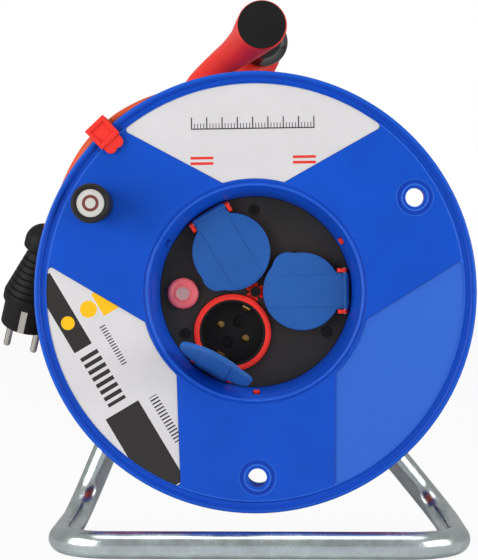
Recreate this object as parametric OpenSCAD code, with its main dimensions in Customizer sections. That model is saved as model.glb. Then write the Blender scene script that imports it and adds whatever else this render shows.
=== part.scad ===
// Extension cord reel: a two-flange cable drum with three lidded sockets,
// turning on an axle that a bent tube stand with a carrying handle holds up.
// X runs to the right, Y away from the user and Z up. The origin is the
// centre of the footprint, on the floor. Millimetres.

/* [Drum] */
// Outer diameter of both flanges
flange_d = 290; // [280:1:292]
// Gap between the flanges, which the cord fills
drum_gap = 95; // [90:1:96]
// Wall of the flange plates
plate_t = 3; // [2.5:0.1:3.2]
// Depth of the flange rims
rim_h = 8.6; // [8:0.1:9]
// Outer diameter of the barrel that the cord is wound on
barrel_d = 148; // [147:0.5:149]
// Diameter of the recess mouth in the front flange
mouth_d = 144.4; // [143:0.2:145]
// Depth from the front face to the socket cover
cover_y = 20; // [19:0.2:21]
// Diameter of the socket cover
cover_d = 126; // [125:0.5:126.5]
// Half width of the three raised arms between the label fields
arm_half_w = 53.2; // [52:0.2:54]
// Distance of the flange holes from the axle
hole_pcd_r = 121.5; // [120:0.5:123]
// Diameter of the flange holes
hole_d = 12.2; // [11:0.2:13]

/* [Sockets] */
// Distance of a socket's centre from the axle
socket_r = 31; // [31:0.1:31.4]
// Outer diameter of the socket collars
collar_d = 51.6; // [50:0.2:52]
// Inner diameter of the socket wells
well_d = 43.4; // [42.6:0.2:43.8]
// Depth of the socket wells
well_depth = 16; // [15:0.5:17]
// Distance between the two pin holes
pin_spacing = 19; // [19:0.1:19.2]
// Distance between the two earth contacts
earth_gap = 34; // [33.6:0.2:34.4]
// Distance of the lid hinges from the axle
hinge_r = 59.5; // [59:0.1:60]
// Thickness of the lids
lid_t = 3; // [2.6:0.1:3.1]
// How far each of the three lids stands open
lid_open = [0, 0, 75]; // [0:5:100]

/* [Crank knob] */
// Diameter of the crank knob
knob_d = 25.6; // [24:0.2:27]
// Height of the knob over the front face
knob_h = 40; // [36:1:44]

/* [Cord] */
// Diameter of the cord
cord_d = 8.6; // [8.4:0.1:8.6]
// Turns in the outer layer of the winding
outer_turns = 9; // [6:1:9]

/* [Stand] */
// Height of the axle over the floor
axle_h = 173; // [172:0.5:176]
// Outer diameter of the stand tube
tube_d = 18; // [17:0.5:18]
// Wall of the stand tube
tube_wall = 1.5; // [1.2:0.1:2]
// Diameter of the axle journal
journal_d = 16; // [15:0.5:16]
// Distance of the rear legs behind the front face
leg_y = 126; // [125:0.5:127]

/* [Handle] */
// Height of the grip's centre line over the axle
grip_h = 177; // [177:0.5:180]
// Diameter of the grip's front end cap
grip_cap_d = 32; // [31:0.5:33]

/* [Hidden] */

$fn = 96;
e = 0.01;                        // overshoot of a cut past a face
fit = 0.05;                      // radial clearance of a running fit
gap = 0.3;                       // clearance between pieces of different bodies

// Colours
flange_blue = [0.10, 0.33, 0.80];
lid_blue = [0.20, 0.41, 0.70];
signal_red = [0.90, 0.20, 0.17];
soft_black = [0.15, 0.14, 0.14];
cord_orange = [0.90, 0.38, 0.16];
bright_steel = [0.72, 0.75, 0.77];
brass = [0.80, 0.62, 0.28];
label_white = [0.86, 0.86, 0.85];

// Stations along the axle, measured back from the front face
face_y = -61;                    // the front face in the part's frame
front_in_y = 0.4 + plate_t;      // inner side of the front flange
rear_in_y = front_in_y + drum_gap;
rear_out_y = rear_in_y + plate_t;
hub_y0 = 58;                     // front end of the hub tube
hub_y1 = 109;                    // rear end of the hub tube
bracket_y0 = 113;
bracket_y1 = leg_y - tube_d/2;   // the bracket lies on the front of the legs
tube_back_y = leg_y + tube_d/2;
journal_r = journal_d/2;
bush_r = 10.5;
hub_r = 15;
stud_r = 5;
collar_rest_r = 13;              // the axle's collar against the bracket
washer_r = 12.5;
clip_groove_y = [hub_y0 - 4.2, hub_y0 - 3];
bush_collar_r = 13.5;

// Recess and sockets
flange_r = flange_d/2;
barrel_r = barrel_d/2;
barrel_wall = 2.6;
mouth_r = mouth_d/2;
cover_r = cover_d/2;
cover_t = 3;
collar_r = collar_d/2;
well_r = well_d/2;
collar_y = cover_y - 3.5;        // front edge of the socket collars
well_floor_y = collar_y + well_depth;
insert_t = 14;                   // body of the insert behind the well floor
hinge_y = collar_y - 1.2;
hinge_pin_r = 1.1;
knuckle_r = 2.7;
lid_y1 = collar_y - gap;         // back face of a closed lid
tongue_w = 24;
ear_z = 12.35;
ear_t = 2.6;
ear_x0 = 54.2;
ear_x1 = 61.2;
ear_root_x1 = 58.5;
lid_lobe_angle = 120;
rest_turn = 0.8;                 // the drum rests turned by this angle
socket_angles = [for (a = [120, 0, 240]) a + rest_turn];
arm_angles = [for (a = [30, 150, 270]) a + rest_turn];
field_angles = [for (a = [90, 210, 330]) a + rest_turn];
cover_screw_r = 54.4;
cover_head_r = 3.1;
cover_head_hole_r = 3.6;
centre_head_r = 3.4;
centre_core_r = 3.9;             // splined boss in the middle of the carrier
centre_rib_r = 6.2;
centre_rib_half = 0.9;
centre_rib_turns = [40, 80];     // two ribs between each pair of sockets
spline_gap = 0.25;
collar_step = 0.9;               // the outer ledge of a socket collar lies this much deeper
ledge_w = 1.2;
mark_at = 8;                     // round marks in a well's floor
mark_r = 3.9;
mark_depth = 3.5;
slot_y = [5.4, 13];              // slots in the recess wall for the carrier's hooks
slot_half = 2.4;
latch_y0 = 9.4;
button_at = [-48, -1];
button_r = 10.4;
seal_r0 = 17.6;
seal_r1 = 19.8;
seal_t = 1.6;
field_outer_r = 136.9;
field_inner_r = 74.5;
field_depth = 0.9;
field_corner_r = 2.2;
label_margin = 0.2;
channel_r0 = 138;                // channel inside the rim's bead
channel_r1 = 140.6;
channel_y = 1.8;
field_taper = 1.25;              // the arms narrow outwards by this angle a side
film_t = 0.3;                    // thickness of the label films

// Contacts behind the wells
sleeve_r = 3.8;
bus_y = well_floor_y + insert_t; // first busbar plane behind the inserts
bus_step = 2.6;
bus_t = 1;
bus_r0 = 30.2;
bus_r1 = 34.6;

// Flange holes, bosses and ribs
lip_r0 = 7.6;                    // raised ring round a front flange hole
lip_r1 = 9.2;
groove_r = 12;                   // shallow groove outside that ring
hole_sleeve_r = 8.8;
front_sleeve_y = 9.4;            // rear end of the sleeves behind the front holes
boss_at = 66;                    // distance of the flange screws from the axle
boss_r = 5.5;
boss_len = 28;
boss_web_half = 4;               // half width of the webs that join the bosses to the barrel
flange_screw_r = 1.8;
rib_angles = [0, 60, 120, 180, 240, 300];
rib_half_t = 1.3;
rear_hole_at = 128;
rear_hole_r = 9;
rear_ring_r = 11.6;

// Crank knob
knob_at = [119, 151];            // distance from the axle and angle
knob_axle_r = 4;
knob_r = knob_d/2;
knob_cap_r = 9.65;
knob_cap_t = 1.6;
knob_floor_y = -34;              // where the grip's inner shoulder meets the axle's head

// Rim clip: a hook over the rim's front, an outer wall and two plates round the lead
clip_angle = 133.6;
clip_w = 16;
clip_r0 = 136.6;
clip_r1 = 152.7;
clip_wall = 1.4;
clip_front_y = -3.6;
clip_plate_y = [9.2, 20.2];
clip_plate_t = 1.3;

// Winding: the last full layer, then two turns that climb onto it at the rear
// flange and come forward to where the lead leaves them
cord_r = cord_d/2;
turn_pitch = cord_d + 0.6;
layer_r = 105.8;                 // centre line of the last full layer
top_r = layer_r + turn_pitch;
top_turns = 2;
climb_turns = 0.25;
wound_rear_y = 90.9;             // rearmost turn of the full layer
leave_angle = 64;
turn_rings = 24;
core_r = (layer_r - cord_r)*cos(180/turn_rings) - 0.05;  // clear of the turns' chords

// Take-off from the winding, which turns with the drum, and the free lead after
// it, both measured from the axle at the front face
take_off = [[23.4, 60.9, 116.5], [36.9, 64.3, 109.9]];
lead_route = [
    [11.3, 56.4, 122.4], [-5, 49.2, 128.7], [-22.1, 41.1, 132], [-39.5, 32.9, 132.3],
    [-56.7, 25.4, 129.6], [-70, 20.5, 125.3], [-82.5, 17.2, 119.2], [-93.4, 15.4, 111.9],
    [-107.6, 15.3, 98.6], [-118, 19.5, 84], [-126, 27, 69], [-133, 35.5, 54.3], [-140, 43, 41.5]];

// Cord inside the barrel
tail_angle = 300;
tail_y = 36.6;
tail_r = 52;                     // the tail's distance from the axle inside the barrel
tail_end_y = 72;
tail_bend = 16;
entry_r = 7;                     // hole in the barrel wall, filled by the grommet
clamp_y = [59, 65];
clamp_half_w = 9;

// Plug: centre of the round boot end, and the centre of the pin face
plug_top = [-144.4, 48, 33.4];
plug_face = [-159.9, 70.8, -23.8];
plug_len = norm(plug_face - plug_top);
plug_side = [17.3, 0, -4.7];     // from one pin towards the other
boot_r = 12.4;
plug_collar_s = 38.6;            // the collar's start, from the boot's centre
plug_collar_r = 18.9;
strip_s = plug_collar_s + 8.4;   // start of the earth strips
neck_s = 9;                      // the ribbed cone's start
neck_r = 9.3;
cone_end_r = 18.6;
rib_count = 7;
rib_depth = 1.1;
rib_step = (plug_collar_s - neck_s)/rib_count;
plug_face_r = 16.9;
pin_r = 2.4;
pin_len = 19;
pin_root_r = 2;
pin_root = 10;                   // how deep a pin is held in the plug

// Stand tube: the corners of its centre line, in the part's frame
foot_z = tube_d/2;
bar_y = face_y - 12;
back_y = face_y + leg_y;
left_x = -129;
right_x = 134;
left_lean = 0.42;                // sideways run of the left leg per height
left_top_z = 222;
right_top_z = 203;
right_lean = right_x/(axle_h - foot_z);
stand_corners = [
    [left_x + left_lean*(left_top_z - foot_z), back_y, left_top_z],
    [left_x, back_y, foot_z], [left_x, bar_y, foot_z],
    [right_x, bar_y, foot_z], [right_x, back_y, foot_z],
    [right_x - right_lean*(right_top_z - foot_z), back_y, right_top_z]];
stand_bends = [0, 30, 35, 35, 30, 0];
tube_sides = 24;
bend_steps = 8;

// Bolts through bracket and legs, measured from the axle
leg_bolt_a = [left_x + left_lean*(axle_h - foot_z), 0];
leg_bolt_b = [right_lean*26, -26];
leg_bolt_r = 3;
bracket_half_h = 11;

// Handle: stations of the two swept arms as [x, y, z, half width, half height],
// measured from the axle at the front face
grip_x = 4.2;
grip_y0 = 20;
sleeve_y0 = grip_y0 + 14;
collar_y0 = 120;                 // where the sleeve ends and the flared stop begins
collar_y1 = 136.5;
grip_r = 13.2;
grip_core_r = 8;
knuckle_y = 160;                 // rearmost point of the handle
horn_stations = [
    [4.2, 20.5, 177, 16.3, 16.3], [4.2, 22.5, 177, 16.6, 16.6], [4.2, 26, 177, 16.7, 16.6],
    [3.3, 34, 176.8, 16.7, 16.3], [1, 45, 175.2, 16.2, 15], [-4, 62, 171, 14.6, 12.4],
    [-12.3, 80, 165.7, 12.6, 10.4], [-21.8, 97, 160.2, 11.2, 9.4],
    [-32, 113, 152.5, 10.8, 9.6], [-41, 126, 143, 11.2, 10.8], [-47, 135, 130, 12, 12]];
arm_stations = [
    [4.2, 149, 177, 15, 11.8], [0.6, 149, 166, 14.6, 12], [-8, 147.5, 155, 15.2, 13.2],
    [-20, 144, 143, 16.5, 14.5], [-32, 139, 128, 18, 15], [-40, 135, 110, 20, 14.5],
    [-43, 131, 90, 22, 14], [-42, 128, 70, 25, 13.5], [-39, 126, 50, 29, 13.5]];
handle_screw_at = [[-48.4, 28], [-18, 22]];
handle_screw_r = 2.5;
handle_screw_y = [114, 138];     // seats of the nut and of the head

// ---------------------------------------------------------------- helpers

function unit(v) = v/norm(v);
function polar(r, a) = [r*cos(a), r*sin(a)];
function smooth(t) = t*t*(3 - 2*t);
function arc(c, r, a0, a1, n) = [for (i = [0:n]) c + polar(r, a0 + (a1 - a0)*i/n)];

// Moves from the axle's frame, with Y from the front face, to the part's frame
module on_axle() translate([0, face_y, axle_h]) children();

// Turns what points along +X to an angle seen from the front
module at_angle(a) rotate([0, -a, 0]) children();

// A body of revolution about the axle from [radius, depth] points
module turned(profile)
    rotate([90, 0, 0]) rotate_extrude() polygon([for (p = profile) [p[0], -p[1]]]);

// A round plug about a line parallel to the axle
module rod(r, y0, y1) translate([0, y1, 0]) rotate([90, 0, 0]) cylinder(r = r, h = y1 - y0);

module ring(r0, r1, y0, y1) difference() {
    rod(r1, y0, y1);
    rod(r0, y0 - 1, y1 + 1);
}

// A flat shape drawn in X and Z, between two depths
module slab(y0, y1) translate([0, y1, 0]) rotate([90, 0, 0]) linear_extrude(y1 - y0) children();

// A box between two corners
module block(a, b) translate(a) cube(b - a);

// A rod along a slanted line
module line_rod(a, b, r) {
    d = b - a;
    translate(a) rotate([0, acos(d[2]/norm(d)), atan2(d[1], d[0])]) cylinder(r = r, h = norm(d));
}

// Tangent length of a rounded corner, and the centre of its arc
function corner_cut(a, b, c, r) = r/tan(acos(unit(a - b)*unit(c - b))/2);
function corner_centre(a, b, c, r) =
    b + unit(unit(a - b) + unit(c - b))*r/sin(acos(unit(a - b)*unit(c - b))/2);

// Points of a line through corners, each rounded by an arc; radius 0 keeps the end
function rounded(p, bends, steps) = [for (i = [0:len(p)-1])
    each (bends[i] == 0 ? [p[i]] :
        let (m = corner_centre(p[i-1], p[i], p[i+1], bends[i]),
             t = corner_cut(p[i-1], p[i], p[i+1], bends[i]),
             x = unit(p[i] + unit(p[i-1] - p[i])*t - m), w = p[i] + unit(p[i+1] - p[i])*t - m,
             y = unit(w - x*(w*x)), turn = acos(unit(w)*x))
        [for (k = [0:steps]) m + bends[i]*(x*cos(turn*k/steps) + y*sin(turn*k/steps))])];

// Direction of a path at one of its points
function heading(p, i) = unit(p[min(i + 1, len(p) - 1)] - p[max(i - 1, 0)]);

// One ring of a swept form: an ellipse square to the heading, whose first axis
// leans towards a side direction
function ring_points(c, h, side, a, b, sides) =
    let (u = unit(side - h*(side*h)), v = cross(h, u))
    [for (k = [0:sides-1]) c + u*a*cos(360*k/sides) + v*b*sin(360*k/sides)];

// A closed solid through rings of equal point counts
module skin(rings) {
    n = len(rings[0]);
    last = len(rings) - 1;
    polyhedron(
        points = [for (r = rings) each r],
        faces = concat(
            [[for (k = [0:n-1]) k]], [[for (k = [n-1:-1:0]) last*n + k]],
            [for (i = [0:last-1], k = [0:n-1])
                each [[i*n + k, (i + 1)*n + k, i*n + (k + 1)%n],
                      [i*n + (k + 1)%n, (i + 1)*n + k, (i + 1)*n + (k + 1)%n]]]));
}

// A round tube swept along a path
module swept(path, r, sides, side)
    skin([for (i = [0:len(path)-1]) ring_points(path[i], heading(path, i), side, r, r, sides)]);

// A tube along a path whose rings don't twist; start is the first ring's first axis
module carried_tube(path, r, sides, start) skin([
    for (i = 0, u = start; i < len(path);
         i = i + 1, u = i < len(path) ? unit(u - heading(path, i)*(u*heading(path, i))) : u)
        ring_points(path[i], heading(path, i), u, r, r, sides)]);

// A smooth line through stations of any length
function spline(s, i, t) =
    let (n = len(s) - 1, a = s[max(i - 1, 0)], b = s[i], c = s[min(i + 1, n)], d = s[min(i + 2, n)])
    0.5*(2*b + (c - a)*t + (2*a - 5*b + 4*c - d)*t*t + (3*b - 3*c + d - a)*t*t*t);
function smooth_line(s, steps) = concat(
    [for (i = [0:len(s)-2], k = [0:steps-1]) spline(s, i, k/steps)], [s[len(s)-1]]);

function place(s) = [s[0], s[1], s[2]];

// A limb of changing section through stations [x, y, z, half width, half height]
module limb(stations, side) {
    line = smooth_line(stations, 3);
    centres = [for (s = line) place(s)];
    skin([for (i = [0:len(line)-1])
        ring_points(centres[i], heading(centres, i), side, line[i][3], line[i][4], 28)]);
}

module screw_head(r, h) difference() {
    rod(r, 0, h);
    for (a = [0, 90]) at_angle(a) block([-r*0.6, -1, -0.5], [r*0.6, 1, 0.5]);
}

// ------------------------------------------------------------------ stand

stand_path = rounded(stand_corners, stand_bends, bend_steps);
leg_turn = atan(left_lean);
stand_side = [-sin(leg_turn)*cos(leg_turn), -cos(leg_turn), pow(sin(leg_turn), 2)];

// The same path, run on past both ends
function stretched(p) = let (n = len(p) - 1)
    [for (i = [0:n]) i == 0 ? p[0] - unit(p[1] - p[0]) : i == n ? p[n] + unit(p[n] - p[n-1]) : p[i]];

module leg_hole(x, z, r) translate([x, 0, z]) rod(r, back_y - tube_d, back_y + tube_d);

module stand_tube() color(bright_steel) difference() {
    carried_tube(stand_path, tube_d/2, tube_sides, stand_side);
    carried_tube(stretched(stand_path), tube_d/2 - tube_wall, tube_sides, stand_side);
    leg_hole(0, axle_h, stud_r);
    for (p = [leg_bolt_a, leg_bolt_b]) leg_hole(p[0], axle_h + p[1], leg_bolt_r);
    for (p = handle_screw_at) leg_hole(p[0], axle_h + p[1], handle_screw_r);
}

module bracket_outline() for (p = [leg_bolt_a, leg_bolt_b]) hull() {
    circle(r = bracket_half_h, $fn = 32);
    translate(p) circle(r = bracket_half_h, $fn = 32);
}

module hub_bracket() color(bright_steel) on_axle() difference() {
    slab(bracket_y0, bracket_y1) bracket_outline();
    rod(stud_r, bracket_y0 - 1, bracket_y1 + 1);
    for (p = [leg_bolt_a, leg_bolt_b])
        translate([p[0], 0, p[1]]) rod(leg_bolt_r, bracket_y0 - 1, bracket_y1 + 1);
}

module hex_nut(across, y0, y1, bore) difference() {
    translate([0, y1, 0]) rotate([90, 0, 0]) cylinder(d = across/cos(30), h = y1 - y0, $fn = 6);
    rod(bore, y0 - 1, y1 + 1);
}

module bracket_bolts() color(bright_steel) on_axle() for (p = [leg_bolt_a, leg_bolt_b])
    translate([p[0], 0, p[1]]) {
        rod(leg_bolt_r + 2, bracket_y0 - 2.2, bracket_y0);
        rod(leg_bolt_r, bracket_y0 - e, tube_back_y + 6);
        difference() {
            rod(2*leg_bolt_r, tube_back_y - 2, tube_back_y + 1);
            leg_print(p);
        }
        hex_nut(10, tube_back_y + 1, tube_back_y + 5.5, leg_bolt_r - e);
    }

// The round of the leg behind a bolt, to seat a washer on
module leg_print(p) {
    lean = p[0] < 0 ? left_lean : -right_lean;
    translate([0, leg_y, 0]) rotate([0, atan(lean), 0])
        cylinder(r = tube_d/2, h = 40, center = true);
}

module axle() color(bright_steel) on_axle() {
    difference() {
        rod(journal_r, hub_y0 - 6, bracket_y0 - 1.5);
        ring(journal_r - 1, journal_r + 1, clip_groove_y[0], clip_groove_y[1]);
    }
    rod(collar_rest_r, bracket_y0 - 1.5, bracket_y0);
    rod(stud_r, bracket_y0 - e, tube_back_y + 12);
}

module axle_nut() color(bright_steel) on_axle()
    hex_nut(17, tube_back_y + 2, tube_back_y + 10, stud_r);

module axle_washers() color(bright_steel) on_axle() {
    for (y = [hub_y0 - 2.8, hub_y1 + 1.5]) ring(journal_r, washer_r, y, y + 1);
    difference() {
        ring(stud_r, 10, tube_back_y - 3, tube_back_y + 2);
        leg_print([1, 0]);
    }
}

module axle_clip() color(soft_black) on_axle() difference() {
    ring(journal_r - 1, 11, clip_groove_y[0], clip_groove_y[1]);
    block([0, 0, -4], [20, hub_y0, 4]);
}

// ----------------------------------------------------------------- handle

knuckle_profile = concat(
    [[0, collar_y1], [16.2, collar_y1]],
    [for (p = arc([9, 148], 8, 0, 60, 5)) p], [[7, knuckle_y - 2], [0, knuckle_y]]);

module at_grip() translate([grip_x, 0, grip_h]) children();

// Red moulding: yoke on both legs, rising arm and the core of the grip
module handle_arm() color(signal_red) difference() {
    on_axle() {
        limb(arm_stations, [1, 0, 0]);
        at_grip() {
            turned(knuckle_profile);
            rod(grip_core_r, sleeve_y0 - 2, collar_y1 + 0.5);
        }
    }
    for (i = [0, 4]) line_rod(stand_corners[i], stand_corners[i+1], tube_d/2);
    on_axle() for (p = handle_screw_at) translate([p[0], 0, p[1]]) {
        rod(handle_screw_r, 100, knuckle_y);
        rod(4.6, handle_screw_y[1], 150);
        rod(4.6, 100, handle_screw_y[0]);
    }
}

// Red horn that sweeps from the grip's front end back to the arm
module handle_horn() color(signal_red) on_axle() difference() {
    limb(horn_stations, [1, 0, 0]);
    at_grip() {
        rod(grip_core_r, sleeve_y0 - 2, 140);
        rod(grip_r, sleeve_y0, 140);
    }
}

module grip_sleeve() color(soft_black) on_axle() at_grip()
    turned([[grip_core_r, sleeve_y0], [grip_r, sleeve_y0], [grip_r, 60], [grip_r - 0.8, 80],
            [grip_r, 100], [grip_r, collar_y0], [grip_core_r, collar_y0]]);

// Flared stop behind the hand
module grip_collar() color(soft_black) on_axle() at_grip()
    turned([[grip_core_r, collar_y0], [grip_r, collar_y0], [14.2, 125], [16.2, 129], [17.7, 132],
            [17.7, collar_y1 - 1], [17, collar_y1], [grip_core_r, collar_y1]]);

module grip_end_cap() color(soft_black) on_axle() at_grip()
    turned([[0, 18.4], [8, 18.5], [14.5, 18.9], [grip_cap_d/2 - 0.3, 19.5], [grip_cap_d/2, 20.5],
            [0, 20.5]]);

module handle_screws() color(bright_steel) on_axle()
    for (p = handle_screw_at) translate([p[0], 0, p[1]]) {
        rod(handle_screw_r, handle_screw_y[0] - 0.5, handle_screw_y[1]);
        translate([0, handle_screw_y[1], 0]) screw_head(4.5, 2);
        hex_nut(7.6, handle_screw_y[0] - 2, handle_screw_y[0], handle_screw_r - e);
    }

// ------------------------------------------------------------------- drum

// Outline of a label field between two arms, with rounded outer corners
function field_outline(a, shrink) =
    let (d = arm_half_w + shrink, ro = field_outer_r - shrink, ri = field_inner_r + shrink,
         f = field_corner_r, rf = ro - f, tf = acos((d + f)/rf), ti = acos(d/ri),
         n0 = a - 30 + field_taper, n1 = a + 30 - field_taper,
         c0 = polar(rf, n0 + tf), c1 = polar(rf, n1 - tf))
    concat(
        arc([0, 0], ri, n0 + ti, n1 - ti, 8),
        arc(c1, f, n1 + 180, n1 - tf + 360, 5),
        arc([0, 0], ro, n1 - tf, n0 + tf, 24),
        arc(c0, f, n0 + tf, n0 + 180, 5));

module front_flange() color(flange_blue) on_axle() difference() {
    union() {
        turned(concat(
            [[66, 24.5], [63.3, 24.5], [63.3, 19.5], [63.7, 16], [64.5, 12], [65.8, 8], [67.4, 4.6],
             [69, 2.2], [69.4, 0.9], [70, 0.3], [70.8, 0], [71.4, 0], [71.9, 0.25], [mouth_r, 0.9],
             [72.9, 0.9], [73.2, 0.4], [field_outer_r + 0.2, 0.4], [field_outer_r + 0.5, 0.7],
             [channel_r0, channel_y], [channel_r1, channel_y], [141.2, 0.4], [141.9, 0], [144, 0], [144.7, 0.3],
             [flange_r, 1]],
            [[flange_r, rim_h + front_in_y - 3], [flange_r - 2.6, rim_h + front_in_y - 3],
             [flange_r - 2.6, 3.9], [flange_r - 3.2, front_in_y], [71, front_in_y], [70.6, 5.2],
             [69.2, 8.4], [67.6, 12.6], [66.6, 16.2], [66, 20]]));
        for (a = [arm_angles[0], arm_angles[2]]) at_angle(a) translate([hole_pcd_r, 0, 0]) {
            ring(lip_r0, lip_r1, 0, 0.5);
            rod(hole_sleeve_r, 3, front_sleeve_y);
        }
        at_knob() {
            rod(10, 0, 0.5);
            rod(9, 3, front_sleeve_y);
        }
    }
    for (a = [arm_angles[0], arm_angles[2]]) at_angle(a) translate([hole_pcd_r, 0, 0]) {
        rod(hole_d/2, -1, 12);
        ring(lip_r1, groove_r, -1, 0.8);
    }
    at_knob() rod(knob_axle_r, -1, 12);
    for (a = field_angles) slab(-1, 0.4 + field_depth) polygon(field_outline(a, 0));
    for (a = arm_angles) at_angle(a) block([62, slot_y[0], -slot_half], [70.9, slot_y[1], slot_half]);
}

module barrel() color(flange_blue) on_axle() difference() {
    union() {
        ring(barrel_r - barrel_wall, barrel_r, front_in_y, rear_in_y);
        for (a = field_angles) at_angle(a) union() {
            translate([boss_at, 0, 0]) rod(boss_r, rear_in_y - boss_len, rear_in_y);
            block([boss_at, rear_in_y - boss_len, -boss_web_half],
                  [barrel_r - barrel_wall/2, rear_in_y, boss_web_half]);
        }
    }
    for (a = field_angles) at_angle(a) translate([boss_at, 0, 0])
        rod(flange_screw_r, rear_in_y - boss_len + 6, rear_in_y + 1);
    at_angle(tail_angle) translate([60, tail_y, 0]) rotate([0, 90, 0]) cylinder(r = entry_r, h = 20);
}

module rear_flange() color(flange_blue) on_axle() difference() {
    union() {
        turned([[bush_r, hub_y0], [hub_r, hub_y0], [hub_r, rear_in_y - 6], [hub_r + 5, rear_in_y],
                [flange_r, rear_in_y], [flange_r, rear_in_y + rim_h], [flange_r - 2.6, rear_in_y + rim_h],
                [flange_r - 2.6, rear_out_y], [72.6, rear_out_y], [72.2, rear_out_y + 1.4],
                [70, rear_out_y + 1.4], [69.6, rear_out_y], [hub_r, rear_out_y], [hub_r, hub_y1],
                [bush_r, hub_y1]]);
        for (a = rib_angles) at_angle(a) {
            block([hub_r - 1, rear_out_y - 1, -rib_half_t], [70.5, hub_y1 - 3, rib_half_t]);
            block([hub_r - 1, rear_in_y - 14, -rib_half_t], [48, rear_in_y + 1, rib_half_t]);
        }
        for (a = arm_angles) at_angle(a) translate([rear_hole_at, 0, 0])
            rod(rear_ring_r, rear_out_y - 1, rear_out_y + 2);
    }
    rod(bush_r, hub_y0 - 1, hub_y1 + 1);
    for (a = arm_angles) at_angle(a) translate([rear_hole_at, 0, 0])
        rod(rear_hole_r, rear_in_y - 1, rear_out_y + 3);
    for (a = field_angles) at_angle(a) translate([boss_at, 0, 0])
        rod(flange_screw_r, rear_in_y - 1, rear_out_y + 3);
}

module flange_screws() color(bright_steel) on_axle() for (a = field_angles)
    at_angle(a) translate([boss_at, 0, 0]) {
        rod(flange_screw_r, rear_in_y - boss_len + 8, rear_out_y + e);
        translate([0, rear_out_y + 2, 0]) mirror([0, 1, 0]) screw_head(3.6, 2);
    }

module hub_bush() color(soft_black) on_axle() turned([
    [journal_r + fit, hub_y0 - 1.5], [bush_collar_r, hub_y0 - 1.5], [bush_collar_r, hub_y0],
    [bush_r, hub_y0], [bush_r, hub_y1], [bush_collar_r, hub_y1], [bush_collar_r, hub_y1 + 1.2],
    [journal_r + fit, hub_y1 + 1.2]]);

// ---------------------------------------------------------------- sockets

module at_socket(i) at_angle(socket_angles[i]) children();

module hinge_line(r, half) translate([hinge_r, hinge_y, -half]) cylinder(r = r, h = 2*half);

module carrier_ears() for (s = [-1, 1]) mirror([0, 0, s < 0 ? 1 : 0]) difference() {
    union() {
        block([ear_x0, hinge_y, ear_z], [ear_x1, cover_y - 0.1, ear_z + ear_t]);
        block([ear_x0, hinge_y, ear_z], [ear_root_x1, 25, ear_z + ear_t]);
        translate([(ear_x0 + ear_x1)/2, hinge_y, ear_z]) intersection() {
            cylinder(d = ear_x1 - ear_x0, h = ear_t);
            block([-5, -3, -1], [5, 3, ear_t + 1]);
        }
    }
    hinge_line(hinge_pin_r, 30);
}

module snap_hook() {
    block([69.2, 12.5, -2.8], [71.2, 27, 2.8]);
    block([64.6, latch_y0, -slot_half + gap], [70.2, 12.6, slot_half - gap]);
    block([64, 25, -2.8], [71.2, 27, 2.8]);
}

module socket_carrier() color(signal_red) on_axle() difference() {
    union() {
        rod(63, cover_y + cover_t, 24.5);
        rod(65.4, 24.5, 27);
        for (i = [0:2]) at_socket(i) {
            translate([socket_r, 0, 0]) {
                rod(collar_r - gap, collar_y + collar_step, 40);
                rod(collar_r - gap - ledge_w, collar_y, 40);
            }
            carrier_ears();
        }
        rod(centre_core_r, cover_y - 0.4, 27);
        centre_ribs(cover_y + 0.4, centre_rib_r, centre_rib_half);
        for (a = field_angles) at_angle(a) translate([cover_screw_r, 0, 0]) rod(4, 26, 36);
        for (a = [arm_angles[0], arm_angles[2]]) at_angle(a) snap_hook();
    }
    for (i = [0:2]) at_socket(i) translate([socket_r, 0, 0]) rod(well_r + 0.2, 10, 50);
    for (a = field_angles) at_angle(a) translate([cover_screw_r, 0, 0]) rod(1.5, 20, 40);
    rod(1.5, 10, 40);
    translate([button_at[0], 0, button_at[1]]) rod(button_r + 0.6, 20, 30);
}

module centre_ribs(y0, r, half) for (a = socket_angles, s = centre_rib_turns)
    at_angle(a + s) block([2, y0, -half], [r, 27, half]);

module socket_cover() color(soft_black) on_axle() difference() {
    union() {
        rod(cover_r, cover_y, cover_y + cover_t);
        translate([button_at[0], 0, button_at[1]]) rod(button_r + 1.8, cover_y - 0.6, cover_y + 1);
    }
    for (i = [0:2]) at_socket(i) {
        translate([socket_r, 0, 0]) rod(collar_r + 0.1, 10, 30);
        for (s = [-1, 1]) block([ear_x0 - 0.1, 10, s*(ear_z + ear_t/2) - ear_t/2 - 0.1],
                                [ear_root_x1 + 0.2, 30, s*(ear_z + ear_t/2) + ear_t/2 + 0.1]);
    }
    rod(centre_core_r + spline_gap, 10, 30);
    centre_ribs(10, centre_rib_r + spline_gap, centre_rib_half + spline_gap);
    for (a = socket_angles) at_angle(a) block([3, 10, -3.6], [5.5, 30, 3.6]);
    for (a = field_angles) at_angle(a) translate([cover_screw_r, 0, 0]) {
        rod(1.5, 10, 30);
        rod(cover_head_hole_r, cover_y - 1, cover_y + 1);
    }
    translate([button_at[0], 0, button_at[1]]) rod(button_r + 0.3, 10, 30);
}

module cover_screws() color(soft_black) on_axle() {
    for (a = field_angles) at_angle(a) translate([cover_screw_r, 0, 0])
        cover_screw(cover_head_r, cover_y - 0.6, 36);
    cover_screw(centre_head_r, cover_y - 2, 36);
}

module cover_screw(r, y0, y1) {
    translate([0, y0, 0]) screw_head(r, 1.6);
    rod(1.5, y0 + 1.6 - e, y1);
}

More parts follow.
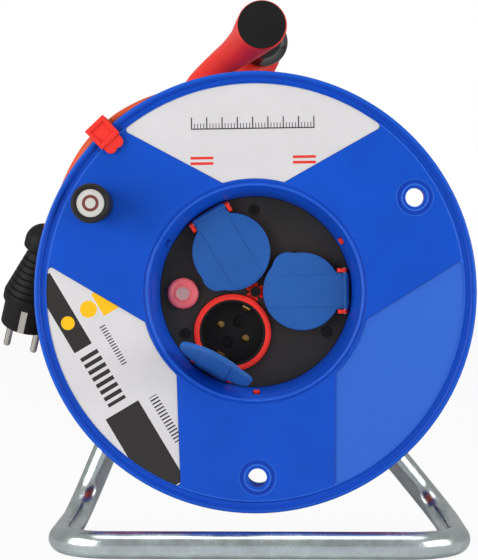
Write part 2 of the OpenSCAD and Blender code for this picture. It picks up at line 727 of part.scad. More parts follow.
// Black cup of one socket: pin holes across, shallow marks along the radius
module well_insert(i) color(soft_black) on_axle() at_socket(i) difference() {
    translate([socket_r, 0, 0]) rod(well_r, collar_y + 0.3, well_floor_y + insert_t);
    translate([socket_r, 0, 0]) {
        rod(well_r - 1.2, 10, well_floor_y);
        for (s = [-1, 1]) {
            translate([0, 0, s*pin_spacing/2]) {
                rod(pin_r + 0.4, 30, well_floor_y + 2);
                rod(sleeve_r + 0.2, well_floor_y + 1.5, 60);
            }
            translate([s*mark_at, 0, 0]) rod(mark_r, 30, well_floor_y + mark_depth);
            block([s*(earth_gap/2 + 1.2) - 2.4, 22, -3.2], [s*(earth_gap/2 + 1.2) + 2.4, 60, 3.2]);
        }
    }
}
module well_insert_1() well_insert(0);
module well_insert_2() well_insert(1);
module well_insert_3() well_insert(2);

module contact_sleeves() color(brass) on_axle() for (i = [0:2], s = [-1, 1])
    at_socket(i) translate([socket_r, 0, s*pin_spacing/2])
        ring(pin_r + 0.1, sleeve_r, well_floor_y + 2.2, s > 0 ? bus_y : bus_y + bus_step);

// Sprung earth clips at both sides of each well
module earth_clips() color(brass) on_axle() for (i = [0:2], s = [-1, 1])
    at_socket(i) translate([socket_r, 0, 0]) mirror([s < 0 ? 1 : 0, 0, 0]) {
        block([earth_gap/2 + 1.2, collar_y + 6.2, -2.6], [earth_gap/2 + 2.4, bus_y + 2*bus_step, 2.6]);
        slab_across(2.6) polygon([[earth_gap/2 + 1.3, collar_y + 6.2], [earth_gap/2, collar_y + 9],
            [earth_gap/2, collar_y + 11.5], [earth_gap/2 + 1.3, collar_y + 14.5]]);
    }

// Extrudes a shape drawn in X and Y along Z, to both sides
module slab_across(half) translate([0, 0, -half]) linear_extrude(2*half) children();

module bus_ring(y0, cut_side) difference() {
    ring(bus_r0, bus_r1, y0, y0 + bus_t);
    for (i = [0:2]) at_socket(i) translate([socket_r, 0, cut_side*pin_spacing/2]) rod(5, y0 - 1, y0 + 2);
}

module busbars() color(brass) on_axle() {
    bus_ring(bus_y, -1);
    ring(bus_r0, bus_r1, bus_y + bus_step, bus_y + bus_step + bus_t);
    translate([0, bus_y + 2*bus_step, 0]) difference() {
        union() {
            for (i = [0:2]) at_socket(i) block([8, 0, -3], [52, bus_t, 3]);
            rod(11, 0, bus_t);
        }
        rod(9.5, -1, 2);
    }
}

module thermal_cutout() color(soft_black) on_axle() translate([button_at[0], 0, button_at[1]])
    difference() {
        block([-10, 27, -12], [10, 54, 12]);
        rod(3.6, 20, 34);
    }

module button_spring() color(bright_steel) on_axle() translate([button_at[0], 0, button_at[1]])
    ring(4.2, 5.6, 23.4, 27);

module reset_button() color([0.93, 0.50, 0.53]) on_axle() translate([button_at[0], 0, button_at[1]])
    turned([[0, 14.6], [4.3, 14.8], [4.7, 15.6], [7, 15.9], [9.4, 16.8], [button_r, 18.4],
            [button_r, 20.8], [3.5, 20.8], [3.5, 31], [0, 31]]);

module lid_pin(i) color(bright_steel) on_axle() at_socket(i) hinge_line(hinge_pin_r, ear_z + ear_t + 0.3);
module lid_pin_1() lid_pin(0);
module lid_pin_2() lid_pin(1);
module lid_pin_3() lid_pin(2);

// Turns a lid about its hinge line from the closed place
module swung(i) at_socket(i) translate([hinge_r, hinge_y, 0]) rotate([0, 0, lid_open[i]])
    translate([-hinge_r, -hinge_y, 0]) children();

module lid_disc(r, y0, y1) {
    translate([socket_r, 0, 0]) {
        rod(r, y0, y1);
        at_angle(lid_lobe_angle) translate([18.4, 0, 0]) rod(r - 15.7, y0, y1);
    }
}

module lid(i) color(lid_blue) on_axle() swung(i) difference() {
    union() {
        lid_disc(collar_r, lid_y1 - lid_t + 0.5, lid_y1);
        lid_disc(collar_r - 0.6, lid_y1 - lid_t, lid_y1);
        block([socket_r, lid_y1 - lid_t, -tongue_w/2], [hinge_r, lid_y1, tongue_w/2]);
        intersection() {
            lid_disc(collar_r - 0.6, lid_y1 - lid_t - 0.5, lid_y1);
            block([0, 0, -tongue_w/2 + 1.5], [hinge_r, 20, tongue_w/2 - 1.5]);
        }
        hinge_line(knuckle_r, tongue_w/2);
    }
    hinge_line(hinge_pin_r + fit, tongue_w);
}
module lid_1() lid(0);
module lid_2() lid(1);
module lid_3() lid(2);

module lid_seal(i) color([0.36, 0.55, 0.80]) on_axle() swung(i) translate([socket_r, 0, 0])
    ring(seal_r0, seal_r1, lid_y1, lid_y1 + seal_t);
module lid_seal_1() lid_seal(0);
module lid_seal_2() lid_seal(1);
module lid_seal_3() lid_seal(2);

// ----------------------------------------------------------------- labels

module label(a) slab(0.4 + field_depth - film_t, 0.4 + field_depth) polygon(field_outline(a, label_margin));
module top_label() color(label_white) on_axle() label(field_angles[0]);
module side_label() color(label_white) on_axle() label(field_angles[1]);

// ------------------------------------------------------------- crank knob

module at_knob() at_angle(knob_at[1]) translate([knob_at[0], 0, 0]) children();

module knob_axle() color(bright_steel) on_axle() at_knob() {
    rod(knob_axle_r, knob_floor_y, 14);
    rod(6.4, knob_floor_y - 2.2, knob_floor_y);
    hex_nut(13, front_sleeve_y, 14, knob_axle_r - e);
}

module knob_grip() color(soft_black) on_axle() at_knob() turned([
    [knob_axle_r + fit, -0.4], [10.6, -0.4], [11.4, -1.4], [knob_r, -knob_h + 8],
    [knob_r, -knob_h + 1.6], [knob_r - 0.8, -knob_h + 0.4], [knob_r - 2, -knob_h],
    [knob_cap_r, -knob_h], [knob_cap_r, -knob_h + knob_cap_t], [7, -knob_h + knob_cap_t],
    [7, knob_floor_y + gap], [knob_axle_r + fit, knob_floor_y + gap]]);

module knob_cap() color([0.80, 0.81, 0.79]) on_axle() at_knob()
    rod(knob_cap_r, -knob_h, -knob_h + knob_cap_t);

// --------------------------------------------------------------- rim clip

module rim_clip() color(signal_red) on_axle() at_angle(clip_angle) {
    half = clip_w/2;
    difference() {
        block([clip_r0, clip_front_y, -half], [clip_r1, -0.2, half]);
        block([clip_r0 + 3, clip_front_y - 1, -half + 2.6], [clip_r1 - 2.8, clip_front_y + 1.2, half - 2.6]);
    }
    block([clip_r0 - 3.6, -2.6, -half + 1.2], [clip_r0 + 0.4, -0.2, half - 1.2]);
    translate([clip_r0 - 3, 0, 0]) for (s = [-1, 1]) translate([0, 0, s*(half - 5.2)]) rod(4, -2.6, -0.2);
    block([clip_r0 - 6.2, -2.6, -3], [clip_r0 - 2.6, -0.2, 3]);
    block([clip_r1 - clip_wall, -1, -half], [clip_r1, clip_plate_y[1] + clip_plate_t, half]);
    block([140, clip_plate_y[0], -half + 1], [clip_r1 - 1, clip_plate_y[0] + clip_plate_t, half - 1]);
    block([141, clip_plate_y[1], -half], [clip_r1, clip_plate_y[1] + clip_plate_t, half]);
}

// ------------------------------------------------------------------- cord

// Centre of the winding a number of turns before it leaves the drum
function wound(s) =
    let (a = leave_angle - 360*s, full_y = wound_rear_y - turn_pitch*(s - top_turns - climb_turns),
         lift = 90*(1 - smooth(max(0, min((s - top_turns)/climb_turns, 1)))))
    s < top_turns ? [top_r*cos(a), wound_rear_y - turn_pitch*(1 - climb_turns + top_turns - s), top_r*sin(a)]
    : let (on_top = s < top_turns + climb_turns, r = layer_r + (on_top ? turn_pitch*sin(lift) : 0))
      [r*cos(a), full_y - (on_top ? turn_pitch*(1 - cos(lift)) : 0), r*sin(a)];

wound_turns = top_turns + climb_turns + outer_turns;
winding_path = concat(
    [for (s = [gap, 2]) lead_route[0] + s*unit(lead_route[0] - lead_route[1])], take_off,
    [for (i = [0:wound_turns*turn_rings]) wound(i/turn_rings)],
    [wound(wound_turns) + cord_d*unit(wound(wound_turns) - wound(wound_turns - 1/turn_rings))]);

function least_gap(p, skip) = min([for (i = [0:len(p)-1])
    let (far = [for (j = [i+skip:1:len(p)-1]) norm(p[i] - p[j])])
    len(far) ? min(far) : 1e3]) - cord_d;

module cord_core() color(cord_orange) on_axle() ring(barrel_r, core_r, front_in_y, rear_in_y);

module cord_winding() color(cord_orange) on_axle() {
    echo(winding_least_gap = least_gap(winding_path, turn_rings/2));
    skin([for (i = [0:len(winding_path)-1]) let (p = winding_path[i])
        ring_points(p, heading(winding_path, i), unit([p[0], 0, p[2]]), cord_r, cord_r, 6)]);
}

module cord_grommet() color(soft_black) on_axle() at_angle(tail_angle)
    translate([barrel_r - barrel_wall - 2, tail_y, 0]) rotate([0, 90, 0]) difference() {
        cylinder(r = entry_r, h = barrel_wall + 1.6);
        translate([0, 0, -1]) cylinder(r = cord_r, h = 10);
    }

module cord_tail() color(cord_orange) on_axle() at_angle(tail_angle) carried_tube(
    rounded([[barrel_r - gap, tail_y, 0], [tail_r, tail_y, 0], [tail_r, tail_end_y, 0]],
            [0, tail_bend, 0], 6), cord_r, 16, [0, 0, 1]);

module cord_clamp() color(soft_black) on_axle() at_angle(tail_angle) difference() {
    block([tail_r - 7, clamp_y[0], -clamp_half_w], [barrel_r - barrel_wall - 0.8, clamp_y[1], clamp_half_w]);
    translate([tail_r, 0, 0]) rod(cord_r, clamp_y[0] - 9, clamp_y[1] + 5);
}

module free_lead() color(cord_orange) on_axle() swept(lead_route, cord_r, 10, [0, 1, 0]);

// ------------------------------------------------------------------- plug

// The plug's own frame: Z from the boot's centre to the pin face, X across the pins
module on_plug() {
    z = unit(plug_face - plug_top);
    x = unit(plug_side - z*(plug_side*z));
    y = cross(z, x);
    on_axle() multmatrix([[x[0], y[0], z[0], plug_top[0]], [x[1], y[1], z[1], plug_top[1]],
                          [x[2], y[2], z[2], plug_top[2]], [0, 0, 0, 1]]) children();
}

function cone_r(s) = neck_r + (cone_end_r - neck_r)*(s - neck_s)/(plug_collar_s - neck_s);

module plug_boot() color(soft_black) on_plug() rotate_extrude() polygon(concat(
    [for (p = arc([0, 0], boot_r, -90, 0, 12)) [max(p[0], 0), p[1]]],
    [[boot_r, 4.2], [boot_r - 0.6, 4.9], [neck_r - 0.6, neck_s - 1.6]],
    [for (i = [0:rib_count-1], p = [[0.1, 0], [0.7, 0], [0.78, 1], [0.98, 1]])
        let (s = neck_s + (i + p[0])*rib_step) [cone_r(s) - rib_depth*p[1], s]],
    [[cone_end_r - 0.2, plug_collar_s], [0, plug_collar_s]]));

module plug_body() color(soft_black) on_plug() difference() {
    rotate_extrude() polygon([[0, plug_collar_s], [plug_collar_r - 0.4, plug_collar_s],
        [plug_collar_r, plug_collar_s + 0.8], [plug_collar_r, plug_collar_s + 6.2],
        [plug_collar_r - 0.6, plug_collar_s + 7.2], [plug_face_r, plug_collar_s + 7.6],
        [plug_face_r, plug_len - 0.8], [plug_face_r - 0.8, plug_len], [0, plug_len]]);
    for (s = [-1, 1]) {
        translate([s*pin_spacing/2, 0, plug_len - pin_root]) cylinder(r = pin_root_r, h = 20);
        block([-2.6, s*(plug_face_r - 0.2) - 1.6, strip_s],
              [2.6, s*(plug_face_r - 0.2) + 1.6, plug_len + 1]);
    }
}

module plug_pins() color(bright_steel) on_plug() for (s = [-1, 1])
    translate([s*pin_spacing/2, 0, plug_len]) rotate_extrude()
        polygon([[0, -pin_root], [pin_root_r, -pin_root], [pin_root_r, 0], [pin_r, 0],
                 [pin_r, pin_len - 1.6], [pin_r - 0.6, pin_len - 0.4], [1, pin_len], [0, pin_len]]);

module plug_earth_strips() color(bright_steel) on_plug() for (s = [-1, 1])
    block([-2.2, s*(plug_face_r - 1) - 0.6, strip_s],
          [2.2, s*(plug_face_r - 1) + 0.6, plug_len - 0.2]);

// ------------------------------------------------------------------ nodes

stand_tube();
hub_bracket();
bracket_bolts();
axle();
axle_nut();
axle_washers();
axle_clip();
handle_arm();
handle_horn();
grip_sleeve();
grip_collar();
grip_end_cap();
handle_screws();
front_flange();
barrel();
rear_flange();
flange_screws();
hub_bush();
socket_carrier();
socket_cover();
cover_screws();
well_insert_1();
well_insert_2();
well_insert_3();
contact_sleeves();
earth_clips();
busbars();
thermal_cutout();
button_spring();
reset_button();
lid_pin_1();
lid_pin_2();
lid_pin_3();
lid_1();
lid_2();
lid_3();
lid_seal_1();
lid_seal_2();
lid_seal_3();
top_label();
side_label();
cord_core();
cord_winding();
cord_grommet();
cord_clamp();
cord_tail();
rim_clip();
knob_axle();
knob_grip();
knob_cap();
free_lead();
plug_body();
plug_boot();
plug_pins();
plug_earth_strips();
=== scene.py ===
"""Looks of a hand-wound extension cord reel.

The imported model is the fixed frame. Each sub-assembly of the reel is a class
that holds its sizes, builds the surfaces that show and dresses them.

Sizes are millimetres in the drum's own axes: X to the right, Y back from the
front face of the drum, Z up from the axle. Angles are degrees, anticlockwise
as seen from the front, from the right.
"""

from __future__ import annotations

import logging
import math
from dataclasses import dataclass
from enum import Enum
from functools import cache
from typing import Any, Callable, Sequence

import bpy
import numpy as np
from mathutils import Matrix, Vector

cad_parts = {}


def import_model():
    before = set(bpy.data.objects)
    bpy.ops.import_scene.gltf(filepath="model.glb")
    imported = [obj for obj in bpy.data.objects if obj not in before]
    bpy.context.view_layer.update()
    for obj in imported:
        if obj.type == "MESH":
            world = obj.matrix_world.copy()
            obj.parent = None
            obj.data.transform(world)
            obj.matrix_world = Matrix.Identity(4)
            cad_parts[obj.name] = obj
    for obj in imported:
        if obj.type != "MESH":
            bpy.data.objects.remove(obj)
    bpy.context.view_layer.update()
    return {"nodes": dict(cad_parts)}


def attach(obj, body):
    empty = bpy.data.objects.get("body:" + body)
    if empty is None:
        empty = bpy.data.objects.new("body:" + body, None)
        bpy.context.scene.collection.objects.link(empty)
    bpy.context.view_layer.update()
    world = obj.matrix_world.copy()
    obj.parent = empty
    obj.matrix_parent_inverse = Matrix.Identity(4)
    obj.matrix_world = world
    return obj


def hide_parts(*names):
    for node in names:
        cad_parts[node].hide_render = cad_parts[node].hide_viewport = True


LOG = logging.getLogger("cord_reel")
MM = 0.001
AXLE = np.array([0.0, -61.0, 173.0])
ALONG_X, ALONG_Y, ALONG_Z = np.eye(3)
CREASE = math.radians(38.0)

Array = np.ndarray
Pair = tuple[float, float]
Point = tuple[float, float, float]
Colour = tuple[float, float, float, float]
Rows = Sequence[Sequence[float]]

BLACK: Colour = (0.0, 0.0, 0.0, 1.0)
WHITE: Colour = (1.0, 1.0, 1.0, 1.0)


# --------------------------------------------------------------------------
# Geometry: points, outlines and closed shells
# --------------------------------------------------------------------------


def frame_point(point: Sequence[float]) -> Point:
    """Turns a drum point in millimetres into a point of the frame in metres."""
    x, y, z = (np.asarray(point, float) + AXLE) * MM
    return (float(x), float(y), float(z))


def unit(vectors: Array) -> Array:
    """Scales vectors, held in the last axis, to length one."""
    return vectors / np.maximum(np.linalg.norm(vectors, axis=-1, keepdims=True), 1e-12)


def polar(radius: Any, degrees: Any) -> tuple[Any, Any]:
    """X and Z of points at a radius and angle round the axle."""
    angle = np.radians(degrees)
    return radius * np.cos(angle), radius * np.sin(angle)


def ease(t: Array | float) -> Array:
    """Smooth step from 0 to 1, flat at both ends: t squared times (3 - 2t)."""
    t = np.clip(t, 0.0, 1.0)
    return t * t * (3.0 - 2.0 * t)


def soft_max(a: Array, b: Array, blend: float) -> Array:
    """The larger of two values, with a fillet where they meet.

    Args:
        a: First values.
        b: Second values.
        blend: Width of the fillet, in the values' own unit.

    Returns:
        blend * log(exp(a / blend) + exp(b / blend)), kept from overflow.
    """
    top = np.maximum(a, b)
    return top + blend * np.log(np.exp((a - top) / blend) + np.exp((b - top) / blend))


def rounded(rows: Rows, steps: int, closed: bool = True) -> Array:
    """Rounds the corners of a flat line with short curves.

    Each corner gives way to the parabola through its two tangent points, which
    lie at its radius from it, or at most at 0.48 of the shorter side.

    Args:
        rows: Two coordinates and a radius for each corner.
        steps: Stretches per rounded corner.
        closed: Whether the line runs round; an open line keeps its ends.

    Returns:
        The rounded line's points, shape (n, 2).
    """
    corners, radius = np.array(rows)[:, :2], np.array(rows)[:, 2]
    before = np.roll(corners, 1, axis=0) - corners
    after = np.roll(corners, -1, axis=0) - corners
    short = np.minimum(np.linalg.norm(before, axis=1), np.linalg.norm(after, axis=1))
    cut = np.minimum(radius, 0.48 * short)
    if not closed:
        cut[[0, -1]] = 0.0
    start = corners + unit(before) * cut[:, None]
    end = corners + unit(after) * cut[:, None]
    w = np.linspace(0.0, 1.0, steps + 1)[None, :, None]
    curve = (1 - w) ** 2 * start[:, None] + 2 * w * (1 - w) * corners[:, None] + w**2 * end[:, None]
    line = curve.reshape(-1, 2)
    keep = np.ones(len(line), bool)
    keep[1:] = np.linalg.norm(np.diff(line, axis=0), axis=1) > 1e-4
    return line[keep]


def spline(stations: Rows, steps: int) -> Array:
    """Catmull-Rom curve through stations of any width.

    Args:
        stations: Values at the stations, shape (n, k).
        steps: Samples between two stations.

    Returns:
        The curve's values, the last station included.
    """
    stations = np.array(stations)
    padded = np.vstack([stations[:1], stations, stations[-1:]])
    a, b, c, d = padded[:-3, None], padded[1:-2, None], padded[2:-1, None], padded[3:, None]
    t = np.linspace(0.0, 1.0, steps, endpoint=False)[None, :, None]
    square, cube = 2 * a - 5 * b + 4 * c - d, 3 * b - 3 * c + d - a
    curve = 0.5 * (2 * b + (c - a) * t + square * t**2 + cube * t**3)
    return np.vstack([curve.reshape(-1, stations.shape[1]), stations[-1:]])


def bent_line(rows: Rows, steps: int) -> Array:
    """A line in space through corners, each turned on an arc of its own radius.

    Args:
        rows: Three coordinates and a bend radius for each corner; the two ends
            aren't bent.
        steps: Stretches per bend.

    Returns:
        The line's points, with an extra one midway along each straight run.
    """
    corners, radii = np.array(rows)[:, :3], np.array(rows)[:, 3]
    line = [corners[:1]]
    for a, b, c, radius in zip(corners[:-2], corners[1:-1], corners[2:], radii[1:-1]):
        u, v = unit(a - b), unit(c - b)
        half = math.acos(float(np.clip(u @ v, -1, 1))) / 2
        centre = b + unit(u + v) * radius / math.sin(half)
        x = unit(b + u * radius / math.tan(half) - centre)
        w = b + v * radius / math.tan(half) - centre
        y = unit(w - x * (w @ x))
        turn = np.linspace(0.0, math.pi - 2 * half, steps + 1)[:, None]
        arc = centre + radius * (x * np.cos(turn) + y * np.sin(turn))
        line += [(line[-1][-1:] + arc[:1]) / 2, arc]
    line += [(line[-1][-1:] + corners[-1:]) / 2, corners[-1:]]
    return np.vstack(line)


def tube_rings(path: Array, wide: Any, sides: int, lean: Array, high: Any = None) -> Array:
    """Circles or ovals square to a path.

    A ring is u * wide * cos(t) + v * high * sin(t), where u leans towards the
    given direction and v is square to u and to the path.

    Args:
        path: Centre line, shape (n, 3).
        wide: Half width along u, one or one for each point.
        sides: Points in a ring.
        lean: Direction, or one per point, that each ring's first point leans to.
        high: Half width along v; the same as wide if left out.

    Returns:
        Grid of points, shape (n, sides, 3).
    """
    along = unit(np.gradient(path, axis=0))
    lean = np.broadcast_to(lean, path.shape)
    u = unit(lean - along * (lean * along).sum(-1, keepdims=True))
    v = np.cross(along, u)
    t = np.linspace(0.0, 2 * np.pi, sides, endpoint=False)[None, :, None]
    halves = (wide, wide if high is None else high)
    across, up = (np.broadcast_to(half, len(path))[:, None, None] for half in halves)
    return path[:, None] + u[:, None] * across * np.cos(t) + v[:, None] * up * np.sin(t)


@dataclass(frozen=True)
class Place:
    """A place in the drum's axes: an origin and three unit directions."""

    origin: Array
    x: Array
    y: Array
    z: Array

    @staticmethod
    def on_axle(degrees: float = 0.0, origin: Point = (0.0, 0.0, 0.0)) -> "Place":
        """The drum's axes turned round the axle, with an origin in the turned axes."""
        c, s = math.cos(math.radians(degrees)), math.sin(math.radians(degrees))
        x, y, z = np.array([c, 0.0, s]), ALONG_Y, np.array([-s, 0.0, c])
        return Place(origin[0] * x + origin[1] * y + origin[2] * z, x, y, z)

    def hinged(self, pivot: Pair, degrees: float) -> "Place":
        """This place turned about its own Z direction through a pivot point."""
        c, s = math.cos(math.radians(degrees)), math.sin(math.radians(degrees))
        x, y = c * self.x + s * self.y, c * self.y - s * self.x
        px, py = pivot
        origin = self.origin + px * self.x + py * self.y - px * x - py * y
        return Place(origin, x, y, self.z)

    def points(self, local: Array) -> Array:
        """Local points, in the last axis, put into the drum's axes."""
        return self.origin + local[..., :1] * self.x + local[..., 1:2] * self.y + local[..., 2:] * self.z


def slab_rings(outline: Array, layers: Array) -> Array:
    """A flat outline carried through layers, for a plate with rounded edges.

    Each layer moves the outline inwards along its own normals, the mean of the
    two neighbouring edges' normals, and sets its depth.

    Args:
        outline: Points in X and Z, anticlockwise, shape (n, 2).
        layers: Inset and depth of each layer, shape (m, 2).

    Returns:
        Grid of points, shape (m, n, 3).
    """
    along = np.roll(outline, -1, axis=0) - np.roll(outline, 1, axis=0)
    inward = unit(np.stack([-along[:, 1], along[:, 0]], axis=-1))
    flat = outline[None] + inward[None] * layers[:, 0, None, None]
    return np.stack([flat[..., 0], np.broadcast_to(layers[:, 1:], flat.shape[:2]), flat[..., 1]], -1)


def rounded_layers(y0: float, y1: float, radius: float, steps: int = 4) -> Array:
    """Layers of a plate from depth y0 to y1 with a quarter round at both edges."""
    turn = np.linspace(0.0, np.pi / 2, steps + 1)
    inset, rise = radius * (1 - np.sin(turn)), radius * (1 - np.cos(turn))
    return np.vstack([np.stack([inset, y0 + rise], -1), np.stack([inset, y1 - rise], -1)[::-1]])


class Shell:
    """Vertices and faces of one piece, gathered from closed surfaces."""

    def __init__(self) -> None:
        """Starts with nothing in it."""
        self._points: list[Array] = []
        self._quads: list[Array] = []
        self._fans: list[Array] = []
        self._count = 0

    def add(self, rings: Array, loop: bool = False, place: Place | None = None) -> "Shell":
        """Adds a closed surface through rings, its faces outwards.

        Quads join each ring to the next. The two end rings are closed by fans
        to their centres, or joined to each other where the rings run round.
        The sign of the enclosed volume decides which way the faces turn.

        Args:
            rings: Grid of points, shape (rings, sides, 3).
            loop: Whether the last ring joins the first.
            place: Where the local points lie; the drum's own axes if left out.

        Returns:
            This shell, so that calls can be chained.
        """
        rings = place.points(rings) if place else rings
        rows, sides = rings.shape[:2]
        points = rings.reshape(-1, 3)
        row = np.arange(rows if loop else rows - 1)[:, None]
        column = np.arange(sides)[None]
        below, above = (row + 1) % rows * sides, row * sides
        right = (column + 1) % sides
        quads = np.stack([above + column, below + column, below + right, above + right], -1).reshape(-1, 4)
        fans = np.empty((0, 3), int)
        if not loop:
            points = np.vstack([points, rings[[0, -1]].mean(axis=1)])
            side, following = column[0], right[0]
            last, tip = (rows - 1) * sides, np.full(sides, rows * sides)
            front = np.stack([side, following, tip], -1)
            back = np.stack([following + last, side + last, tip + 1], -1)
            fans = np.vstack([front, back])
        corners = np.vstack([quads[:, :3], quads[:, [0, 2, 3]], fans])
        a, b, c = (points[corners[:, k]] - points.mean(0) for k in range(3))
        if float((a * np.cross(b, c)).sum()) < 0:
            quads, fans = quads[:, ::-1], fans[:, ::-1]
        self._quads.append(quads + self._count)
        self._fans.append(fans + self._count)
        self._points.append(points)
        self._count += len(points)
        return self

    def turn(self, profile: Array, place: Place, loop: bool = False, sides: int = 96) -> "Shell":
        """Adds a surface of revolution about Y: (r cos t, y, r sin t) for each [r, y].

        Args:
            profile: Radius and depth of each ring, shape (n, 2).
            place: Where the local points lie.
            loop: Whether the last ring joins the first.
            sides: Points in a ring.

        Returns:
            This shell.
        """
        t = np.linspace(0.0, 2 * np.pi, sides, endpoint=False)
        r, y = profile[:, :1], profile[:, 1:]
        rings = np.stack([r * np.cos(t), np.broadcast_to(y, (len(profile), sides)), r * np.sin(t)], -1)
        return self.add(rings, loop, place)

    def build(self, name: str) -> bpy.types.Object:
        """Makes the mesh object, in the frame's metres and at the origin."""
        points = ((np.vstack(self._points) + AXLE) * MM).astype(np.float32)
        quads, fans = np.vstack(self._quads), np.vstack(self._fans)
        mesh = bpy.data.meshes.new(name)
        mesh.vertices.add(len(points))
        mesh.vertices.foreach_set("co", points.ravel())
        mesh.loops.add(quads.size + fans.size)
        mesh.loops.foreach_set("vertex_index", np.concatenate([quads.ravel(), fans.ravel()]).astype(np.int32))
        totals = np.concatenate([np.full(len(quads), 4), np.full(len(fans), 3)])
        mesh.polygons.add(len(totals))
        starts = np.concatenate([[0], np.cumsum(totals)[:-1]])
        mesh.polygons.foreach_set("loop_start", starts.astype(np.int32))
        mesh.update(calc_edges=True)
        mesh.validate()
        mesh.shade_smooth()
        mesh.set_sharp_from_angle(angle=CREASE)
        return linked(name, mesh)


def linked(name: str, data: bpy.types.ID) -> bpy.types.Object:
    """A new object of the scene that shows a mesh, a camera or a lamp."""
    made = bpy.data.objects.new(name, data)
    bpy.context.scene.collection.objects.link(made)
    return made


# --------------------------------------------------------------------------
# Shader graphs
# --------------------------------------------------------------------------


def srgb(red: int, green: int, blue: int) -> Colour:
    """A display colour, 0 to 255, as the linear colour that shaders take."""
    share = np.array([red, green, blue]) / 255.0
    linear = np.where(share <= 0.04045, share / 12.92, ((share + 0.055) / 1.055) ** 2.4)
    return (float(linear[0]), float(linear[1]), float(linear[2]), 1.0)


def shaded(colour: Colour, share: float, lift: float = 0.0) -> Colour:
    """A colour with each channel times a share and lifted, but not past one."""
    red, green, blue = (min(1.0, channel * share + lift) for channel in colour[:3])
    return (red, green, blue, 1.0)


def _math(operation: str, swapped: bool = False, clamp: bool = False) -> Callable[..., "Signal"]:
    """Makes a method of Signal that adds one Math node.

    Args:
        operation: The node's operation.
        swapped: Whether the other value comes first.
        clamp: Whether the result is kept between zero and one.

    Returns:
        A method that takes the other value, which one-sided operations leave out.
    """

    def method(self: "Signal", other: Any = 0.0) -> "Signal":
        """Adds the Math node on this signal and the other value."""
        first, second = (other, self) if swapped else (self, other)
        settings = {"operation": operation, "use_clamp": clamp}
        return self.graph.node("ShaderNodeMath", settings, {0: first, 1: second})

    return method


class Signal:
    """One output of a shader node, whose arithmetic adds Math nodes.

    Above and below are one where this is greater or less than the other value,
    else zero. Fraction is what is left after the whole part below.
    """

    def __init__(self, graph: "Graph", socket: bpy.types.NodeSocket | None) -> None:
        """Wraps a socket of a graph; an output node has none."""
        self.graph = graph
        self.socket = socket

    __add__ = __radd__ = _math("ADD")
    __sub__, __rsub__ = _math("SUBTRACT"), _math("SUBTRACT", swapped=True)
    __mul__ = __rmul__ = _math("MULTIPLY")
    __truediv__ = _math("DIVIDE")
    __pow__ = _math("POWER")
    __abs__ = _math("ABSOLUTE")
    fraction = _math("FRACT")
    above = _math("GREATER_THAN")
    below = _math("LESS_THAN")
    clamped = _math("ADD", clamp=True)

    def between(self, low: Any, high: Any) -> "Signal":
        """One where this lies between two values, else zero."""
        return self.above(low) * self.below(high)

    def eased(self, low: float, high: float) -> "Signal":
        """Smooth step of this from low to high, as a value from zero to one."""
        settings = {"interpolation_type": "SMOOTHSTEP"}
        inputs = {"Value": self, "From Min": low, "From Max": high, "To Min": 0.0, "To Max": 1.0}
        return self.graph.node("ShaderNodeMapRange", settings, inputs)

    def blend(self, zero: Any, one: Any) -> "Signal":
        """Colour that goes from one colour to another as this goes from 0 to 1."""
        settings = {"data_type": "RGBA", "clamp_factor": True}
        return self.graph.node("ShaderNodeMix", settings, {0: self, 6: zero, 7: one}, 2)


